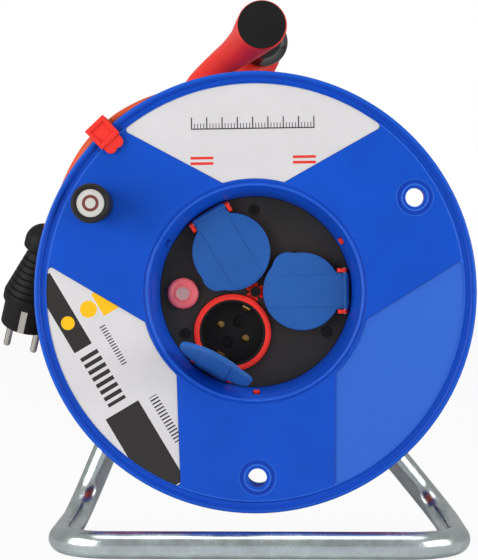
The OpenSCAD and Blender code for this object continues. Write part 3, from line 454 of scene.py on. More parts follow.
class Graph:
    """The node tree of one material or of the world."""

    def __init__(self, owner: bpy.types.Material | bpy.types.World) -> None:
        """Turns the owner's nodes on and clears its tree."""
        owner.use_nodes = True
        self.tree = owner.node_tree
        self.tree.nodes.clear()

    def node(
        self,
        kind: str,
        settings: dict[str, Any] | None = None,
        inputs: dict[Any, Any] | None = None,
        output: int | str = 0,
    ) -> Signal:
        """Adds one node.

        Args:
            kind: Blender's type name for the node.
            settings: Attributes, set before the sockets.
            inputs: Values or signals by socket name or number.
            output: Socket of the node that the answer wraps.

        Returns:
            The chosen output.
        """
        made = self.tree.nodes.new(kind)
        for key, value in (settings or {}).items():
            setattr(made, key, value)
        for key, value in (inputs or {}).items():
            if isinstance(value, Signal):
                self.tree.links.new(value.socket, made.inputs[key])
            else:
                made.inputs[key].default_value = value
        return Signal(self, made.outputs[output] if made.outputs else None)

    def coordinates(self) -> Signal:
        """The frame's own coordinates, in metres, the same on every piece."""
        return self.node("ShaderNodeTexCoord", output="Object")

    def drum_axes(self) -> tuple[Signal, Signal, Signal]:
        """X, Y and Z of the drum's own axes, in millimetres."""
        inputs = {"Vector": self.coordinates(), "Location": tuple(-AXLE), "Scale": (1 / MM,) * 3}
        moved = self.node("ShaderNodeMapping", {"vector_type": "POINT"}, inputs)
        x, y, z = (self.node("ShaderNodeSeparateXYZ", None, {0: moved}, k) for k in range(3))
        return x, y, z

    def noise(self, size: float, detail: float = 3.0, rough: float = 0.55) -> Signal:
        """Noise about 0.5.

        Args:
            size: Size of its blotches in millimetres.
            detail: Finer layers on top.
            rough: Strength of the finer layers.

        Returns:
            The noise value.
        """
        scale = 1.0 / (size * MM)
        inputs = {"Vector": self.coordinates(), "Scale": scale, "Detail": detail, "Roughness": rough}
        return self.node("ShaderNodeTexNoise", {"noise_dimensions": "3D"}, inputs)

    def patches(self, size: float) -> Signal:
        """Soft patches, zero to one, of a size in millimetres."""
        return self.noise(size, 2.0).eased(0.3, 0.7)

    def bump(self, height: Signal, depth: float, under: Signal | None = None) -> Signal:
        """A normal pushed by a height.

        Args:
            height: Height from 0 to 1.
            depth: What a height of 1 stands for, in millimetres.
            under: A normal that the bump lies on.

        Returns:
            The bumped normal.
        """
        inputs: dict[str, Any] = {"Height": height, "Strength": 1.0, "Distance": depth * MM}
        if under is not None:
            inputs["Normal"] = under
        return self.node("ShaderNodeBump", None, inputs)

    def rounded_edges(self, radius: float) -> Signal:
        """Normal that looks as if sharp edges were broken by a radius in millimetres."""
        return self.node("ShaderNodeBevel", {"samples": 4}, {"Radius": radius * MM})

    def surface(self, **inputs: Any) -> None:
        """Finishes a material with a Principled shader.

        Args:
            **inputs: Values or signals, by socket name with underscores for spaces.
        """
        named = {key.replace("_", " "): value for key, value in inputs.items()}
        self.output("Material", self.node("ShaderNodeBsdfPrincipled", None, named))

    def output(self, kind: str, shader: Signal) -> None:
        """Leads a shader to the output of a Material or World."""
        self.node(f"ShaderNodeOutput{kind}", None, {"Surface": shader})


def reach_from(x: Signal, z: Signal, centre: Pair) -> Signal:
    """Distance from a point in the plane of the drum's face."""
    across, up = x - float(centre[0]), z - float(centre[1])
    return (across * across + up * up) ** 0.5


# --------------------------------------------------------------------------
# Finishes
# --------------------------------------------------------------------------


@dataclass(frozen=True)
class Finish:
    """What every finish has: names of the material and of the record's slot, a
    linear base colour, and the radius by which its sharp edges look broken."""

    name: str
    slot: str
    colour: Colour
    edge: float = 0.0

    @cache
    def material(self) -> bpy.types.Material:
        """The material, made once and then shared."""
        made = bpy.data.materials.new(self.name)
        self.dress(Graph(made))
        return made

    def edges(self, graph: Graph) -> Signal | None:
        """The normal with broken edges, or none for a modelled round."""
        return graph.rounded_edges(self.edge) if self.edge else None

    def dress(self, graph: Graph) -> None:
        """Builds the shader; each kind of finish has its own."""
        raise NotImplementedError


@dataclass(frozen=True)
class Moulded(Finish):
    """Injection-moulded plastic: a skin of fine grain with soft flow marks.

    Attributes:
        rough: Roughness.
        grain: Size of the surface grain in millimetres.
        depth: Depth of the grain in millimetres.
        mottle: How far the colour varies, as a share.
        shine: Specular level.
        coat: Weight of a clear gloss.
        glow: Share of light scattered inside the plastic.
        patch: Size of the patches that the colour drifts in.
    """

    rough: float = 0.42
    grain: float = 0.5
    depth: float = 0.012
    mottle: float = 0.10
    shine: float = 0.22
    coat: float = 0.0
    glow: float = 0.0
    patch: float = 38.0

    def dress(self, graph: Graph) -> None:
        """Colour drifts over wide soft patches; grain and scuffs vary the gloss."""
        lighter = shaded(self.colour, 1 + self.mottle)
        fine = graph.noise(self.grain, 2.0)
        self.skin(graph, self.drift(graph, lighter), fine, fine, self.scuffs(graph))

    def drift(self, graph: Graph, lighter: Colour) -> Signal:
        """The plastic's colour, from darker patches to the given lighter ones."""
        return graph.patches(self.patch).blend(shaded(self.colour, 1 - self.mottle), lighter)

    def scuffs(self, graph: Graph) -> Signal:
        """Roughness added by small scuffs."""
        return graph.noise(9.0, 5.0, rough=0.7).eased(0.56, 0.74) * 0.06

    def skin(self, graph: Graph, colour: Signal, fine: Signal, height: Signal, dull: Signal | float) -> None:
        """Finishes the shader of any moulded piece.

        Args:
            graph: The material's graph.
            colour: Base colour.
            fine: Noise of the surface grain.
            height: Height of the skin.
            dull: Roughness on top of the plastic's own and the grain's.
        """
        graph.surface(
            Base_Color=colour,
            Roughness=self.rough + (fine - 0.5) * 0.10 + dull,
            Specular_IOR_Level=self.shine,
            Coat_Weight=self.coat,
            Coat_Roughness=0.12,
            Subsurface_Weight=self.glow,
            Subsurface_Radius=(0.004, 0.0012, 0.001),
            Subsurface_Scale=1.0,
            Normal=graph.bump(height, self.depth, self.edges(graph)),
        )


@dataclass(frozen=True)
class FlangePlastic(Moulded):
    """The drum's plastic: satin arms, a bare field of coarser grain and a rim channel, with painted
    highlights, painted shade and a painted sheen in its colour.

    Attributes:
        field_sheen: Colour of the bare field, lighter as a painted sheen on its coarser grain.
        channel: Colour of the painted shade in the rim channel and in the grooves round the holes.
        bead: Colour of the rim's outer bead, lighter as a painted highlight.
        edge_highlight: Colour of the painted highlights on the recess lip, the rim step and the hole rims.
        front: Depths between which the front face lies.
        floor: Depths between which the bare field's floor lies.
        field_angle: Direction of the bare field from the axle.
        field_edge: Distance from the axle to the line that a field's side lies on.
        field_lean: Angle from the field's middle to that line's normal.
        field_radii: Inner and outer radius of the field.
        channel_shade_radii: Inner and outer radius of the painted shade in the rim channel.
        highlight_radii: Inner and outer radius of each painted highlight about the axle.
        holes: Distance and direction of each open hole's centre.
        hole_highlight_radii: Inner and outer radius of each painted highlight about a hole.
        hole_shade_radii: Inner and outer radius of the painted shade in the groove about a hole.
        pores: Size of the bare field's grain.
        recess: Radius within which the recess wall lies.
        shade: How far painted shade darkens the recess wall on its far side, as a share.
    """

    field_sheen: Colour = BLACK
    channel: Colour = BLACK
    bead: Colour = BLACK
    edge_highlight: Colour = BLACK
    front: Pair = (-1.0, 2.2)
    floor: Pair = (-1.0, 2.0)
    field_angle: float = 330.8
    field_edge: float = 53.5
    field_lean: float = 28.75
    field_radii: Pair = (74.8, 136.7)
    channel_shade_radii: Pair = (141.3, 142.8)
    highlight_radii: tuple[Pair, ...] = ((70.5, 71.0), (136.5, 137.1))
    holes: tuple[Pair, ...] = ((121.5, 30.8), (121.5, 270.8))
    hole_highlight_radii: tuple[Pair, ...] = ((8.0, 9.0), (11.7, 12.3))
    hole_shade_radii: Pair = (9.2, 11.6)
    pores: float = 0.32
    recess: float = 70.0
    shade: float = 0.25

    def _field(self, x: Signal, y: Signal, z: Signal, radius: Signal) -> Signal:
        """One on the floor of the bare field."""
        field = radius.between(*self.field_radii) * y.between(*self.floor)
        for side in (-1, 1):
            across, up = polar(1.0, self.field_angle + side * self.field_lean)
            field = field * (x * float(across) + z * float(up)).above(self.field_edge)
        return field

    def _painted_rings(self, x: Signal, z: Signal, radius: Signal) -> tuple[Signal, Signal]:
        """One on the painted highlights of the edges, and one on the painted shade in the grooves and the rim
        channel.
        """
        highlight_mask = sum(radius.between(*pair) for pair in self.highlight_radii)
        sunk = radius.between(*self.channel_shade_radii)
        for distance, degrees in self.holes:
            reach = reach_from(x, z, polar(distance, degrees))
            highlight_mask = highlight_mask + sum(reach.between(*pair) for pair in self.hole_highlight_radii)
            sunk = sunk + reach.between(*self.hole_shade_radii)
        return highlight_mask.clamped(), sunk.clamped()

    def dress(self, graph: Graph) -> None:
        """Colour and grain change where the drum's own axes put the field, the
        rim and the holes, the colour with a painted sheen, painted highlights and painted shade; elsewhere
        the skin is that of any moulded piece."""
        x, y, z = graph.drum_axes()
        radius = reach_from(x, z, (0.0, 0.0))
        field = self._field(x, y, z, radius)
        front = y.between(*self.front)
        highlight_mask, sunk = self._painted_rings(x, z, radius)
        far_wall_shade = radius.below(self.recess) * (x / radius).eased(0.2, 0.9)
        colour = self.drift(graph, shaded(self.colour, 1 + self.mottle))
        # lighter outer bead beyond the channel: a painted highlight
        colour = (radius.above(self.channel_shade_radii[1]) * front).blend(colour, self.bead)
        # lighter bare field: a painted sheen on its coarser grain
        colour = field.blend(colour, self.field_sheen)
        # darker band in the rim channel and rings in the hole grooves: painted shade
        colour = (sunk * front).blend(colour, self.channel)
        # lighter rings on the recess lip, the rim step and the hole rims: painted highlights
        colour = (highlight_mask * front * 0.5).blend(colour, self.edge_highlight)
        # far side of the recess wall darkened: painted shade
        colour = (far_wall_shade * self.shade).blend(colour, (0.0, 0.0, 0.02, 1.0))
        fine = graph.noise(self.grain, 2.0)
        height = fine * (1 - field) * 0.5 + graph.noise(self.pores, 1.0) * field
        self.skin(graph, colour, fine, height, self.scuffs(graph) + field * 0.2)


@dataclass(frozen=True)
class TurnedPlastic(Moulded):
    """Translucent moulding whose colour changes with the distance from its axis.

    Attributes:
        axis: X and Z of the axis.
        middle: Colour of the sunk middle.
        ring: Colour of the ring round the middle.
        radii: Radius of the middle and outer radius of the ring.
        fade: Distance over which the colours run into each other.
    """

    axis: Pair = (0.0, 0.0)
    middle: Colour = BLACK
    ring: Colour = BLACK
    radii: Pair = (4.0, 6.0)
    patch: float = 12.0
    fade: float = 0.5

    def dress(self, graph: Graph) -> None:
        """The middle's colour, then the ring's, then the plastic's own."""
        x, _, z = graph.drum_axes()
        reach = reach_from(x, z, self.axis)
        colour = self.drift(graph, self.colour)
        for radius, inside in zip(self.radii[::-1], (self.ring, self.middle)):
            colour = reach.eased(radius - self.fade, radius).blend(inside, colour)
        fine = graph.noise(self.grain, 2.0)
        self.skin(graph, colour, fine, fine, 0.0)


@dataclass(frozen=True)
class Sheath(Finish):
    """Smooth rubber cable sheath: faint lengthwise drift, dust and handling marks."""

    def dress(self, graph: Graph) -> None:
        """A satin skin with slow colour drift and small dull marks."""
        marks = graph.noise(5.0, 4.0, rough=0.65).eased(0.58, 0.8)
        fine = graph.noise(0.7, 2.0)
        graph.surface(
            Base_Color=graph.patches(60.0).blend(shaded(self.colour, 0.88), shaded(self.colour, 1.08, 0.01)),
            Roughness=0.40 + marks * 0.12 + (fine - 0.5) * 0.08,
            Specular_IOR_Level=0.25,
            Normal=graph.bump(fine, 0.010, self.edges(graph)),
        )


@dataclass(frozen=True)
class Rubber(Finish):
    """Moulded black rubber with stipple of a size in millimetres, and pale dust."""

    stipple: float = 0.9
    rough: float = 0.62

    def dress(self, graph: Graph) -> None:
        """Stipple from cell distances, with dust where the skin is low."""
        inputs = {"Vector": graph.coordinates(), "Scale": 1.0 / (self.stipple * MM)}
        cells = graph.node("ShaderNodeTexVoronoi", {"feature": "F1"}, inputs)
        dust = graph.noise(11.0, 4.0, rough=0.65).eased(0.5, 0.8) * 0.35
        graph.surface(
            Base_Color=dust.blend(self.colour, shaded(self.colour, 1.5, 0.012)),
            Roughness=self.rough + dust * 0.3,
            Specular_IOR_Level=0.15,
            Normal=graph.bump(cells, 0.03, self.edges(graph)),
        )


@dataclass(frozen=True)
class Metal(Finish):
    """Bare or plated metal with a fine skin and cloudy patches."""

    rough: float = 0.3
    cloud: float = 0.12

    def dress(self, graph: Graph) -> None:
        """Clouds change colour and roughness; the fine skin is a faint bump."""
        fine = graph.noise(0.8)
        clouds = graph.noise(14.0, 4.0, rough=0.6).eased(0.3, 0.72)
        graph.surface(
            Base_Color=clouds.blend(shaded(self.colour, 1 - self.cloud), self.colour),
            Metallic=1.0,
            Roughness=self.rough + clouds * 0.08 + (fine - 0.5) * 0.12,
            Normal=graph.bump(fine, 0.006, self.edges(graph)),
        )


@dataclass(frozen=True)
class Mark:
    """A printed block, or a row of lines on it.

    It is drawn in two distances: out, from the axle along the middle line of
    the film's field, and side, square to that and anticlockwise.

    Attributes:
        out: Where the block starts and ends outwards.
        side: Where it starts and ends sideways.
        pitch: Step of the lines, each on a multiple of it; none for a whole block.
        width: Thickness of a line.
        bright: Whether it is printed in the accent colour.
    """

    out: Pair
    side: Pair
    pitch: float = 0.0
    width: float = 0.0
    bright: bool = False

    def cover(self, out: Signal, side: Signal) -> Signal:
        """One where the mark is printed."""
        block = out.between(*self.out) * side.between(*self.side)
        if not self.pitch:
            return block
        offset = abs((side / self.pitch + 0.5).fraction() - 0.5)
        return block * offset.below(self.width / self.pitch / 2)


@dataclass(frozen=True)
class Disc:
    """A printed disc in the accent colour, in the same distances as a mark."""

    centre: Pair
    radius: float
    bright: bool = True

    def cover(self, out: Signal, side: Signal) -> Signal:
        """One inside the disc."""
        over, along = out - self.centre[0], side - self.centre[1]
        return (over * over + along * along).below(self.radius**2)


class Layout(Enum):
    """The printed designs that a label film may carry, as their marks."""

    # a ruler scale in the middle, and two stripes in either lower corner
    RULER_STRIPES = (
        Mark((107.0, 107.8), (-40.2, 40.2)),
        Mark((107.0, 111.0), (-40.4, 40.4), 2.0, 0.5),
        Mark((107.0, 115.0), (-40.4, 40.4), 10.0, 0.8),
        Mark((83.9, 85.7), (-41.0, -26.0), bright=True),
        Mark((83.9, 85.7), (26.0, 41.0), bright=True),
        Mark((87.5, 89.3), (-41.0, -26.0), bright=True),
        Mark((87.5, 89.3), (26.0, 41.0), bright=True),
    )
    # two blocks with thick bars between them, rows of ticks, a patch and discs
    GAUGE_BLOCKS = (
        Mark((109.0, 122.2), (-80.0, -26.2)),
        Mark((102.0, 127.0), (21.5, 82.0)),
        Mark((108.0, 121.0), (-22.4, 16.0), 5.0, 2.8),
        Mark((95.5, 99.5), (-33.0, -3.0), 2.0, 0.8),
        Mark((89.5, 95.5), (24.0, 58.0), 2.4, 1.0),
        Mark((0.0, 93.0), (-54.0, -37.4), bright=True),
        Disc((99.5, -46.5), 5.6),
        Disc((115.8, -45.5), 4.5),
    )


@dataclass(frozen=True)
class LabelFilm(Finish):
    """Printed film with a plain design along the middle line of its field.

    Attributes:
        layout: The design.
        angle: Direction of the field's middle from the axle.
        ink: Dark printing colour.
        accent: Bright printing colour.
    """

    layout: Layout = Layout.RULER_STRIPES
    angle: float = 90.0
    ink: Colour = srgb(46, 44, 43)
    accent: Colour = srgb(226, 58, 50)

    def dress(self, graph: Graph) -> None:
        """Puts the design on the film, with dull wear marks over it."""
        x, _, z = graph.drum_axes()
        across, up = (float(c) for c in polar(1.0, self.angle))
        out, side = x * across + z * up, z * across - x * up
        colour = (graph.patches(24.0) * 0.04).blend(self.colour, self.ink)
        for bright, print_colour in ((False, self.ink), (True, self.accent)):
            covers = [mark.cover(out, side) for mark in self.layout.value if mark.bright is bright]
            colour = sum(covers).clamped().blend(colour, print_colour)
        graph.surface(
            Base_Color=colour,
            Roughness=0.34 + graph.noise(6.0, 5.0, rough=0.7).eased(0.55, 0.8) * 0.12,
            Specular_IOR_Level=0.3,
            Coat_Weight=0.08,
            Coat_Roughness=0.2,
            Normal=graph.bump(graph.noise(3.0, 2.0), 0.01),
        )


class Palette:
    """Every finish of the reel, by the piece it is for."""

    # the flange's extra colours are painted light: a sheen on the field, highlights on bead and edges, shade
    # in channel, grooves and far recess wall
    flange = FlangePlastic(
        "flange_blue_plastic", "flange_blue", srgb(14, 78, 195), 0.6, rough=0.34, depth=0.024, mottle=0.05,
        field_sheen=srgb(50, 103, 206), channel=srgb(10, 66, 180), bead=srgb(20, 86, 200),
        edge_highlight=srgb(66, 128, 236),
    )
    lid = Moulded(
        "lid_blue_plastic", "lid_blue", srgb(36, 92, 168),
        rough=0.55, grain=0.35, depth=0.02, mottle=0.05, glow=0.06,
    )
    seal = Moulded("seal_lip", "seal_blue", srgb(70, 125, 190), rough=0.6)
    red = Moulded(
        "signal_red_plastic", "red_plastic", srgb(242, 56, 47), 0.5, rough=0.38, mottle=0.04, glow=0.04,
    )
    cover = Moulded(
        "cover_grained_plastic", "cover_black", srgb(44, 42, 41), 0.3,
        rough=0.6, grain=0.45, depth=0.035, mottle=0.16,
    )
    socket = Moulded("socket_black_plastic", "socket_black", srgb(24, 23, 23), 0.3, rough=0.45)
    knob = Moulded("knob_black_plastic", "knob_black", srgb(34, 33, 32), rough=0.38, depth=0.015)
    knob_cap = TurnedPlastic(
        "knob_grey_disc", "cap_grey", srgb(204, 203, 198), 0.2, rough=0.32, mottle=0.04,
        axis=(-104.08, 57.69), middle=srgb(204, 203, 198), ring=srgb(116, 62, 58), radii=(3.6, 5.6),
    )
    bush = Moulded("bush_satin_plastic", "bush_plastic", srgb(60, 60, 62), 0.3)
    button = TurnedPlastic(
        "button_pink_plastic", "button_pink", srgb(236, 108, 118),
        rough=0.34, mottle=0.05, glow=0.2, coat=0.3,
        axis=(-48.0, -1.0), middle=srgb(186, 148, 150), ring=srgb(220, 100, 106), radii=(4.6, 5.9),
    )
    gloss = Moulded(
        "grip_stop_gloss", "black_gloss", srgb(12, 12, 14), rough=0.14, depth=0.0, shine=0.5, coat=0.3,
    )
    grip = Rubber("grip_soft_rubber", "grip_rubber", srgb(24, 23, 23))
    plug = Rubber("plug_rubber", "plug_black", srgb(22, 21, 21), stipple=0.6, rough=0.5)
    cord = Sheath("cord_sheath", "cord_orange", srgb(228, 88, 40))
    zinc = Metal("tube_zinc_plate", "zinc_tube", srgb(212, 222, 222), rough=0.2, cloud=0.2)
    steel = Metal("plated_steel", "steel_fastener", srgb(188, 192, 196), 0.25, rough=0.32)
    dark_steel = Metal("spring_dark_steel", "spring_steel", srgb(110, 112, 116), 0.2, rough=0.35)
    screw = Metal("blackened_screw", "black_screw", srgb(46, 45, 45), 0.2, rough=0.45)
    brass = Metal("contact_brass", "brass", srgb(232, 190, 116), 0.2, rough=0.24)
    # brass darkened to stand for the shade down the pin holes: painted shade
    shadowed_brass = Metal("painted_shade_brass", "brass", srgb(58, 46, 28), rough=0.5)
    nickel = Metal("pin_nickel", "nickel", srgb(200, 196, 188), rough=0.24, cloud=0.1)
    top_film = LabelFilm("top_label_film", "label_white", srgb(218, 216, 217), angle=90.8)
    side_film = LabelFilm(
        "side_label_film", "label_white", srgb(218, 216, 217),
        layout=Layout.GAUGE_BLOCKS, angle=210.8, accent=srgb(252, 192, 24),
    )


def dress(piece: bpy.types.Object, finish: Finish) -> None:
    """Gives a piece its finish."""
    piece.data.materials.clear()
    piece.data.materials.append(finish.material())


def fit_piece(shell: Shell, name: str, body: str, finish: Finish, *nodes: str) -> bpy.types.Object:
    """Builds, dresses and mounts one piece.

    Args:
        shell: Its surfaces.
        name: Its name.
        body: The body of the frame that it moves with.
        finish: Its finish.
        *nodes: Solids of the frame that it stands for.

    Returns:
        The piece.
    """
    piece = shell.build(name)
    dress(piece, finish)
    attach(piece, body)
    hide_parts(*nodes)
    LOG.info("%s: %d faces on %s", name, len(piece.data.polygons), body)
    return piece


# --------------------------------------------------------------------------
# Camera, lamps, floor and background
# --------------------------------------------------------------------------


@dataclass
class Studio:
    """Camera, soft lamps, pale floor and white background.

    Attributes:
        eye: Where the camera stands.
        image: Width and height of the picture in pixels.
        vanish: Where lines along Y meet in the picture, in pixels.
        focal: Focal length in pixels.
        sensor: Width of the camera's sensor.
        lamps: Name, place, width, height and watts of each lamp.
        lamp_aim: Where the lamps point to.
        ambient: Strength of the world's light on the reel.
        mirrored: Share of the white background that glossy surfaces show.
        floor_size: Length of the floor's sides in metres.
        floor_colour: The floor's own colour.
        floor_glow: Share of plain white in the floor as the camera sees it.
    """

    eye: Point = (16.2, -1300.0, 32.6)
    image: tuple[int, int] = (478, 560)
    vanish: Pair = (279.75, 242.7)
    focal: float = 1988.0
    sensor: float = 36.0
    lamps: tuple[tuple[str, Point, float, float, float], ...] = (
        ("left_lamp", (-950.0, -600.0, 150.0), 900.0, 900.0, 10.8),
        ("right_lamp", (1000.0, -560.0, 100.0), 900.0, 900.0, 8.6),
        ("top_lamp", (0.0, -350.0, 1300.0), 1400.0, 700.0, 6.4),
    )
    lamp_aim: Point = (0.0, 50.0, 0.0)
    ambient: float = 0.24
    mirrored: float = 0.22
    floor_size: float = 9.0
    floor_colour: Colour = (0.82, 0.82, 0.82, 1.0)
    floor_glow: float = 0.94

    def build(self) -> None:
        """Makes the whole studio."""
        self._camera()
        for name, spot, width, height, watts in self.lamps:
            self._lamp(name, spot, (width, height), watts)
        self._world()
        self._floor()

    def _camera(self) -> None:
        """The camera looks along Y, turned by the picture centre's offset from
        the vanishing point, so that no lens shift is needed."""
        data = bpy.data.cameras.new("camera")
        data.sensor_width = self.sensor
        data.lens = self.focal * self.sensor / max(self.image)
        data.clip_start, data.clip_end = 0.05, 20.0
        across = self.image[0] / 2 - self.vanish[0]
        down = self.image[1] / 2 - self.vanish[1]
        camera = linked("camera", data)
        self._point(camera, self.eye, Vector((across / self.focal, 1.0, -down / self.focal)))
        bpy.context.scene.camera = camera

    def _lamp(self, name: str, spot: Point, size: Pair, watts: float) -> None:
        """One rectangular lamp aimed at the drum."""
        data = bpy.data.lights.new(name, "AREA")
        data.shape = "RECTANGLE"
        data.size, data.size_y = size[0] * MM, size[1] * MM
        data.energy = watts
        self._point(linked(name, data), spot, Vector(frame_point(self.lamp_aim)) - Vector(frame_point(spot)))

    @staticmethod
    def _point(thing: bpy.types.Object, spot: Point, aim: Vector) -> None:
        """Stands a camera or lamp at a spot and turns its -Z along the aim."""
        thing.location = frame_point(spot)
        thing.rotation_mode = "QUATERNION"
        thing.rotation_quaternion = aim.to_track_quat("-Z", "Y")

    def _world(self) -> None:
        """White to the camera and in reflections, a plain soft level elsewhere."""
        world = bpy.data.worlds.new("studio")
        bpy.context.scene.world = world
        graph = Graph(world)
        rays = ("Camera", "Glossy", "Transmission")
        camera, glossy, through = (graph.node("ShaderNodeLightPath", output=f"Is {ray} Ray") for ray in rays)
        seen = (camera + glossy * self.mirrored + through).clamped()
        inputs = {"Color": WHITE, "Strength": self.ambient + seen * (1.0 - self.ambient)}
        graph.output("World", graph.node("ShaderNodeBackground", None, inputs))

    def _floor(self) -> None:
        """A white floor that keeps a faint shadow of the reel."""
        half = self.floor_size / 2
        corners = [(-half, -half, 0.0), (half, -half, 0.0), (half, half, 0.0), (-half, half, 0.0)]
        mesh = bpy.data.meshes.new("floor")
        mesh.from_pydata(corners, [], [(0, 1, 2, 3)])
        made = bpy.data.materials.new("floor_white")
        graph = Graph(made)
        camera = graph.node("ShaderNodeLightPath", output="Is Camera Ray")
        matt = graph.node("ShaderNodeBsdfDiffuse", None, {"Color": self.floor_colour})
        glow = graph.node("ShaderNodeEmission", None, {"Color": WHITE, "Strength": 1.0})
        mixed = graph.node("ShaderNodeMixShader", None, {0: camera * self.floor_glow, 1: matt, 2: glow})
        graph.output("Material", mixed)
        mesh.materials.append(made)
        linked("floor", mesh)


# --------------------------------------------------------------------------
# Cord
# --------------------------------------------------------------------------


@dataclass
class Cord:
    """One stretch of the reel's cord, with the points round it."""

    diameter: float = 8.6
    sides: int = 20

    def tube(self, path: Array, lean: Array, place: Place | None = None) -> Shell:
        """The cord's surface, a circle carried along a path."""
        return Shell().add(tube_rings(path, self.diameter / 2, self.sides, lean), place=place)

    def declare(
        self, piece: bpy.types.Object, path: Array, far_end: str, lay: str, with_pieces: Sequence[Any] = ()
    ) -> None:
        """Takes a free cord's piece and path, and does nothing with them.

        Args:
            piece: The cord's piece; not used.
            path: Its centre line in drum millimetres; not used.
            far_end: What is on its far end; not used.
            lay: How it lies; not used.
            with_pieces: The separate pieces on it; not used.
        """


@dataclass
class WoundCord(Cord):
    """The cord on the drum: four full layers of turns and two turns on top.

    The last full layer ends at the rear flange. From there the cord climbs
    onto the turn before it, comes forward for two turns and leaves on a short
    take-off that turns with the drum.

    Attributes:
        pitch: Step from one turn to the next, and from the last layer to the top.
        layer_radii: Centre line of each full layer, from the inside.
        turns: Turns in a full layer.
        first_turns: Turns of the innermost layer, from where the cord comes in.
        top_turns: Turns on top of the last full layer.
        climb: Share of a turn in which the cord climbs.
        rear: Depth of the rearmost turn.
        leave_angle: Angle at which the cord leaves the drum.
        take_off: Points of the take-off after the winding's last turn.
        gaps: Distances from the free lead's end of the take-off's last points.
        rings_per_turn: Rings in a turn.
    """

    sides: int = 12
    pitch: float = 9.2
    layer_radii: tuple[float, ...] = (78.4, 87.5, 96.6, 105.8)
    turns: int = 9
    first_turns: float = 3.094
    top_turns: float = 2.0
    climb: float = 0.25
    rear: float = 90.9
    leave_angle: float = 64.0
    take_off: tuple[Point, ...] = ((36.9, 64.3, 109.9), (23.4, 60.9, 116.5))
    gaps: Pair = (2.0, 0.3)
    rings_per_turn: int = 40

    def path(self) -> Array:
        """Centre line from the barrel outwards, up to the take-off.

        A turn count s runs back from where the cord leaves. In the full layers
        the depth swings between the flanges, one layer each way, and the
        radius steps from layer to layer in the half turn where the depth turns
        round. While the cord climbs, it swings round the turn before it.

        Returns:
            Points in drum millimetres, shape (n, 3).
        """
        radii, on_top = self.layer_radii, self.top_turns + self.climb
        total = on_top + self.turns * (len(radii) - 1) + self.first_turns
        s = np.linspace(total, 0.0, int(total * self.rings_per_turn) + 1)
        back = s - on_top
        swing = np.abs(back % (2 * self.turns) - self.turns) / self.turns
        depth = self.rear - self.pitch * self.turns * (1.0 - swing)
        radius = np.full_like(s, radii[-1])
        for step, (inner, outer) in enumerate(zip(radii[-2::-1], radii[:0:-1]), start=1):
            radius -= (outer - inner) * ease((back - step * self.turns) * 2 + 0.5)
        lift = np.pi / 2 * (1 - ease(1 + back / self.climb))
        climbing = back < 0
        depth = np.where(climbing, self.rear - self.pitch * (back + 1 - np.cos(lift)), depth)
        radius = np.where(climbing, radii[-1] + self.pitch * np.sin(lift), radius)
        topping = s < self.top_turns
        depth = np.where(topping, self.rear - self.pitch * (1 - self.climb + self.top_turns - s), depth)
        x, z = polar(radius, self.leave_angle - 360.0 * s)
        return np.stack([x, depth, z], axis=-1)

    def build(self, lead: Array) -> None:
        """Makes the winding.

        Args:
            lead: The free lead's first two points; the winding ends just short
                of the first, in line with them.
        """
        turns = self.path()
        ends = lead[0] + np.array(self.gaps)[:, None] * unit(lead[0] - lead[1])
        path = np.vstack([turns, spline(np.vstack([turns[-1], self.take_off, ends]), 6)[1:]])
        shell = self.tube(path, path * (ALONG_X + ALONG_Z))
        piece = fit_piece(shell, "wound_cord", "drum", Palette.cord, "cord_core", "cord_winding")
        self.declare(piece, path, "object", "coiled")


@dataclass
class FreeLead(Cord):
    """The stretch of cord from the take-off, under the rim clip, to the plug."""

    steps: int = 8
    route: tuple[Point, ...] = (
        (11.3, 56.4, 122.4), (-5.0, 49.2, 128.7), (-22.1, 41.1, 132.0), (-39.5, 32.9, 132.3),
        (-56.7, 25.4, 129.6), (-70.0, 20.5, 125.3), (-82.5, 17.2, 119.2), (-93.4, 15.4, 111.9),
        (-107.6, 15.3, 98.6), (-118.0, 19.5, 84.0), (-126.0, 27.0, 69.0), (-133.0, 35.5, 54.3),
        (-140.0, 43.0, 41.5),
    )

    def path(self) -> Array:
        """The smooth centre line through the route's points."""
        return spline(self.route, self.steps)

    def build(self, plug: Sequence[bpy.types.Object]) -> None:
        path = self.path()
        piece = fit_piece(self.tube(path, ALONG_Y), "free_cord", "stand", Palette.cord, "free_lead")
        self.declare(piece, path, "plug", "taut", plug)


@dataclass
class CordTail(Cord):
    """The cord's inner end: through the barrel wall and held by the clamp.

    Attributes:
        angle: Direction of the plane that the tail is bent in.
        bends: Distance from the axle, depth, zero and bend radius of each corner.
    """

    sides: int = 16
    angle: float = 300.0
    bends: Rows = ((73.7, 36.6, 0.0, 0.0), (52.0, 36.6, 0.0, 16.0), (52.0, 72.0, 0.0, 0.0))

    def build(self) -> None:
        """Makes the bent tail in the plane of its angle."""
        shell = self.tube(bent_line(self.bends, 12), ALONG_Z, Place.on_axle(self.angle))
        fit_piece(shell, "tail_cord", "drum", Palette.cord, "cord_tail")


# --------------------------------------------------------------------------
# Stand and handle
# --------------------------------------------------------------------------


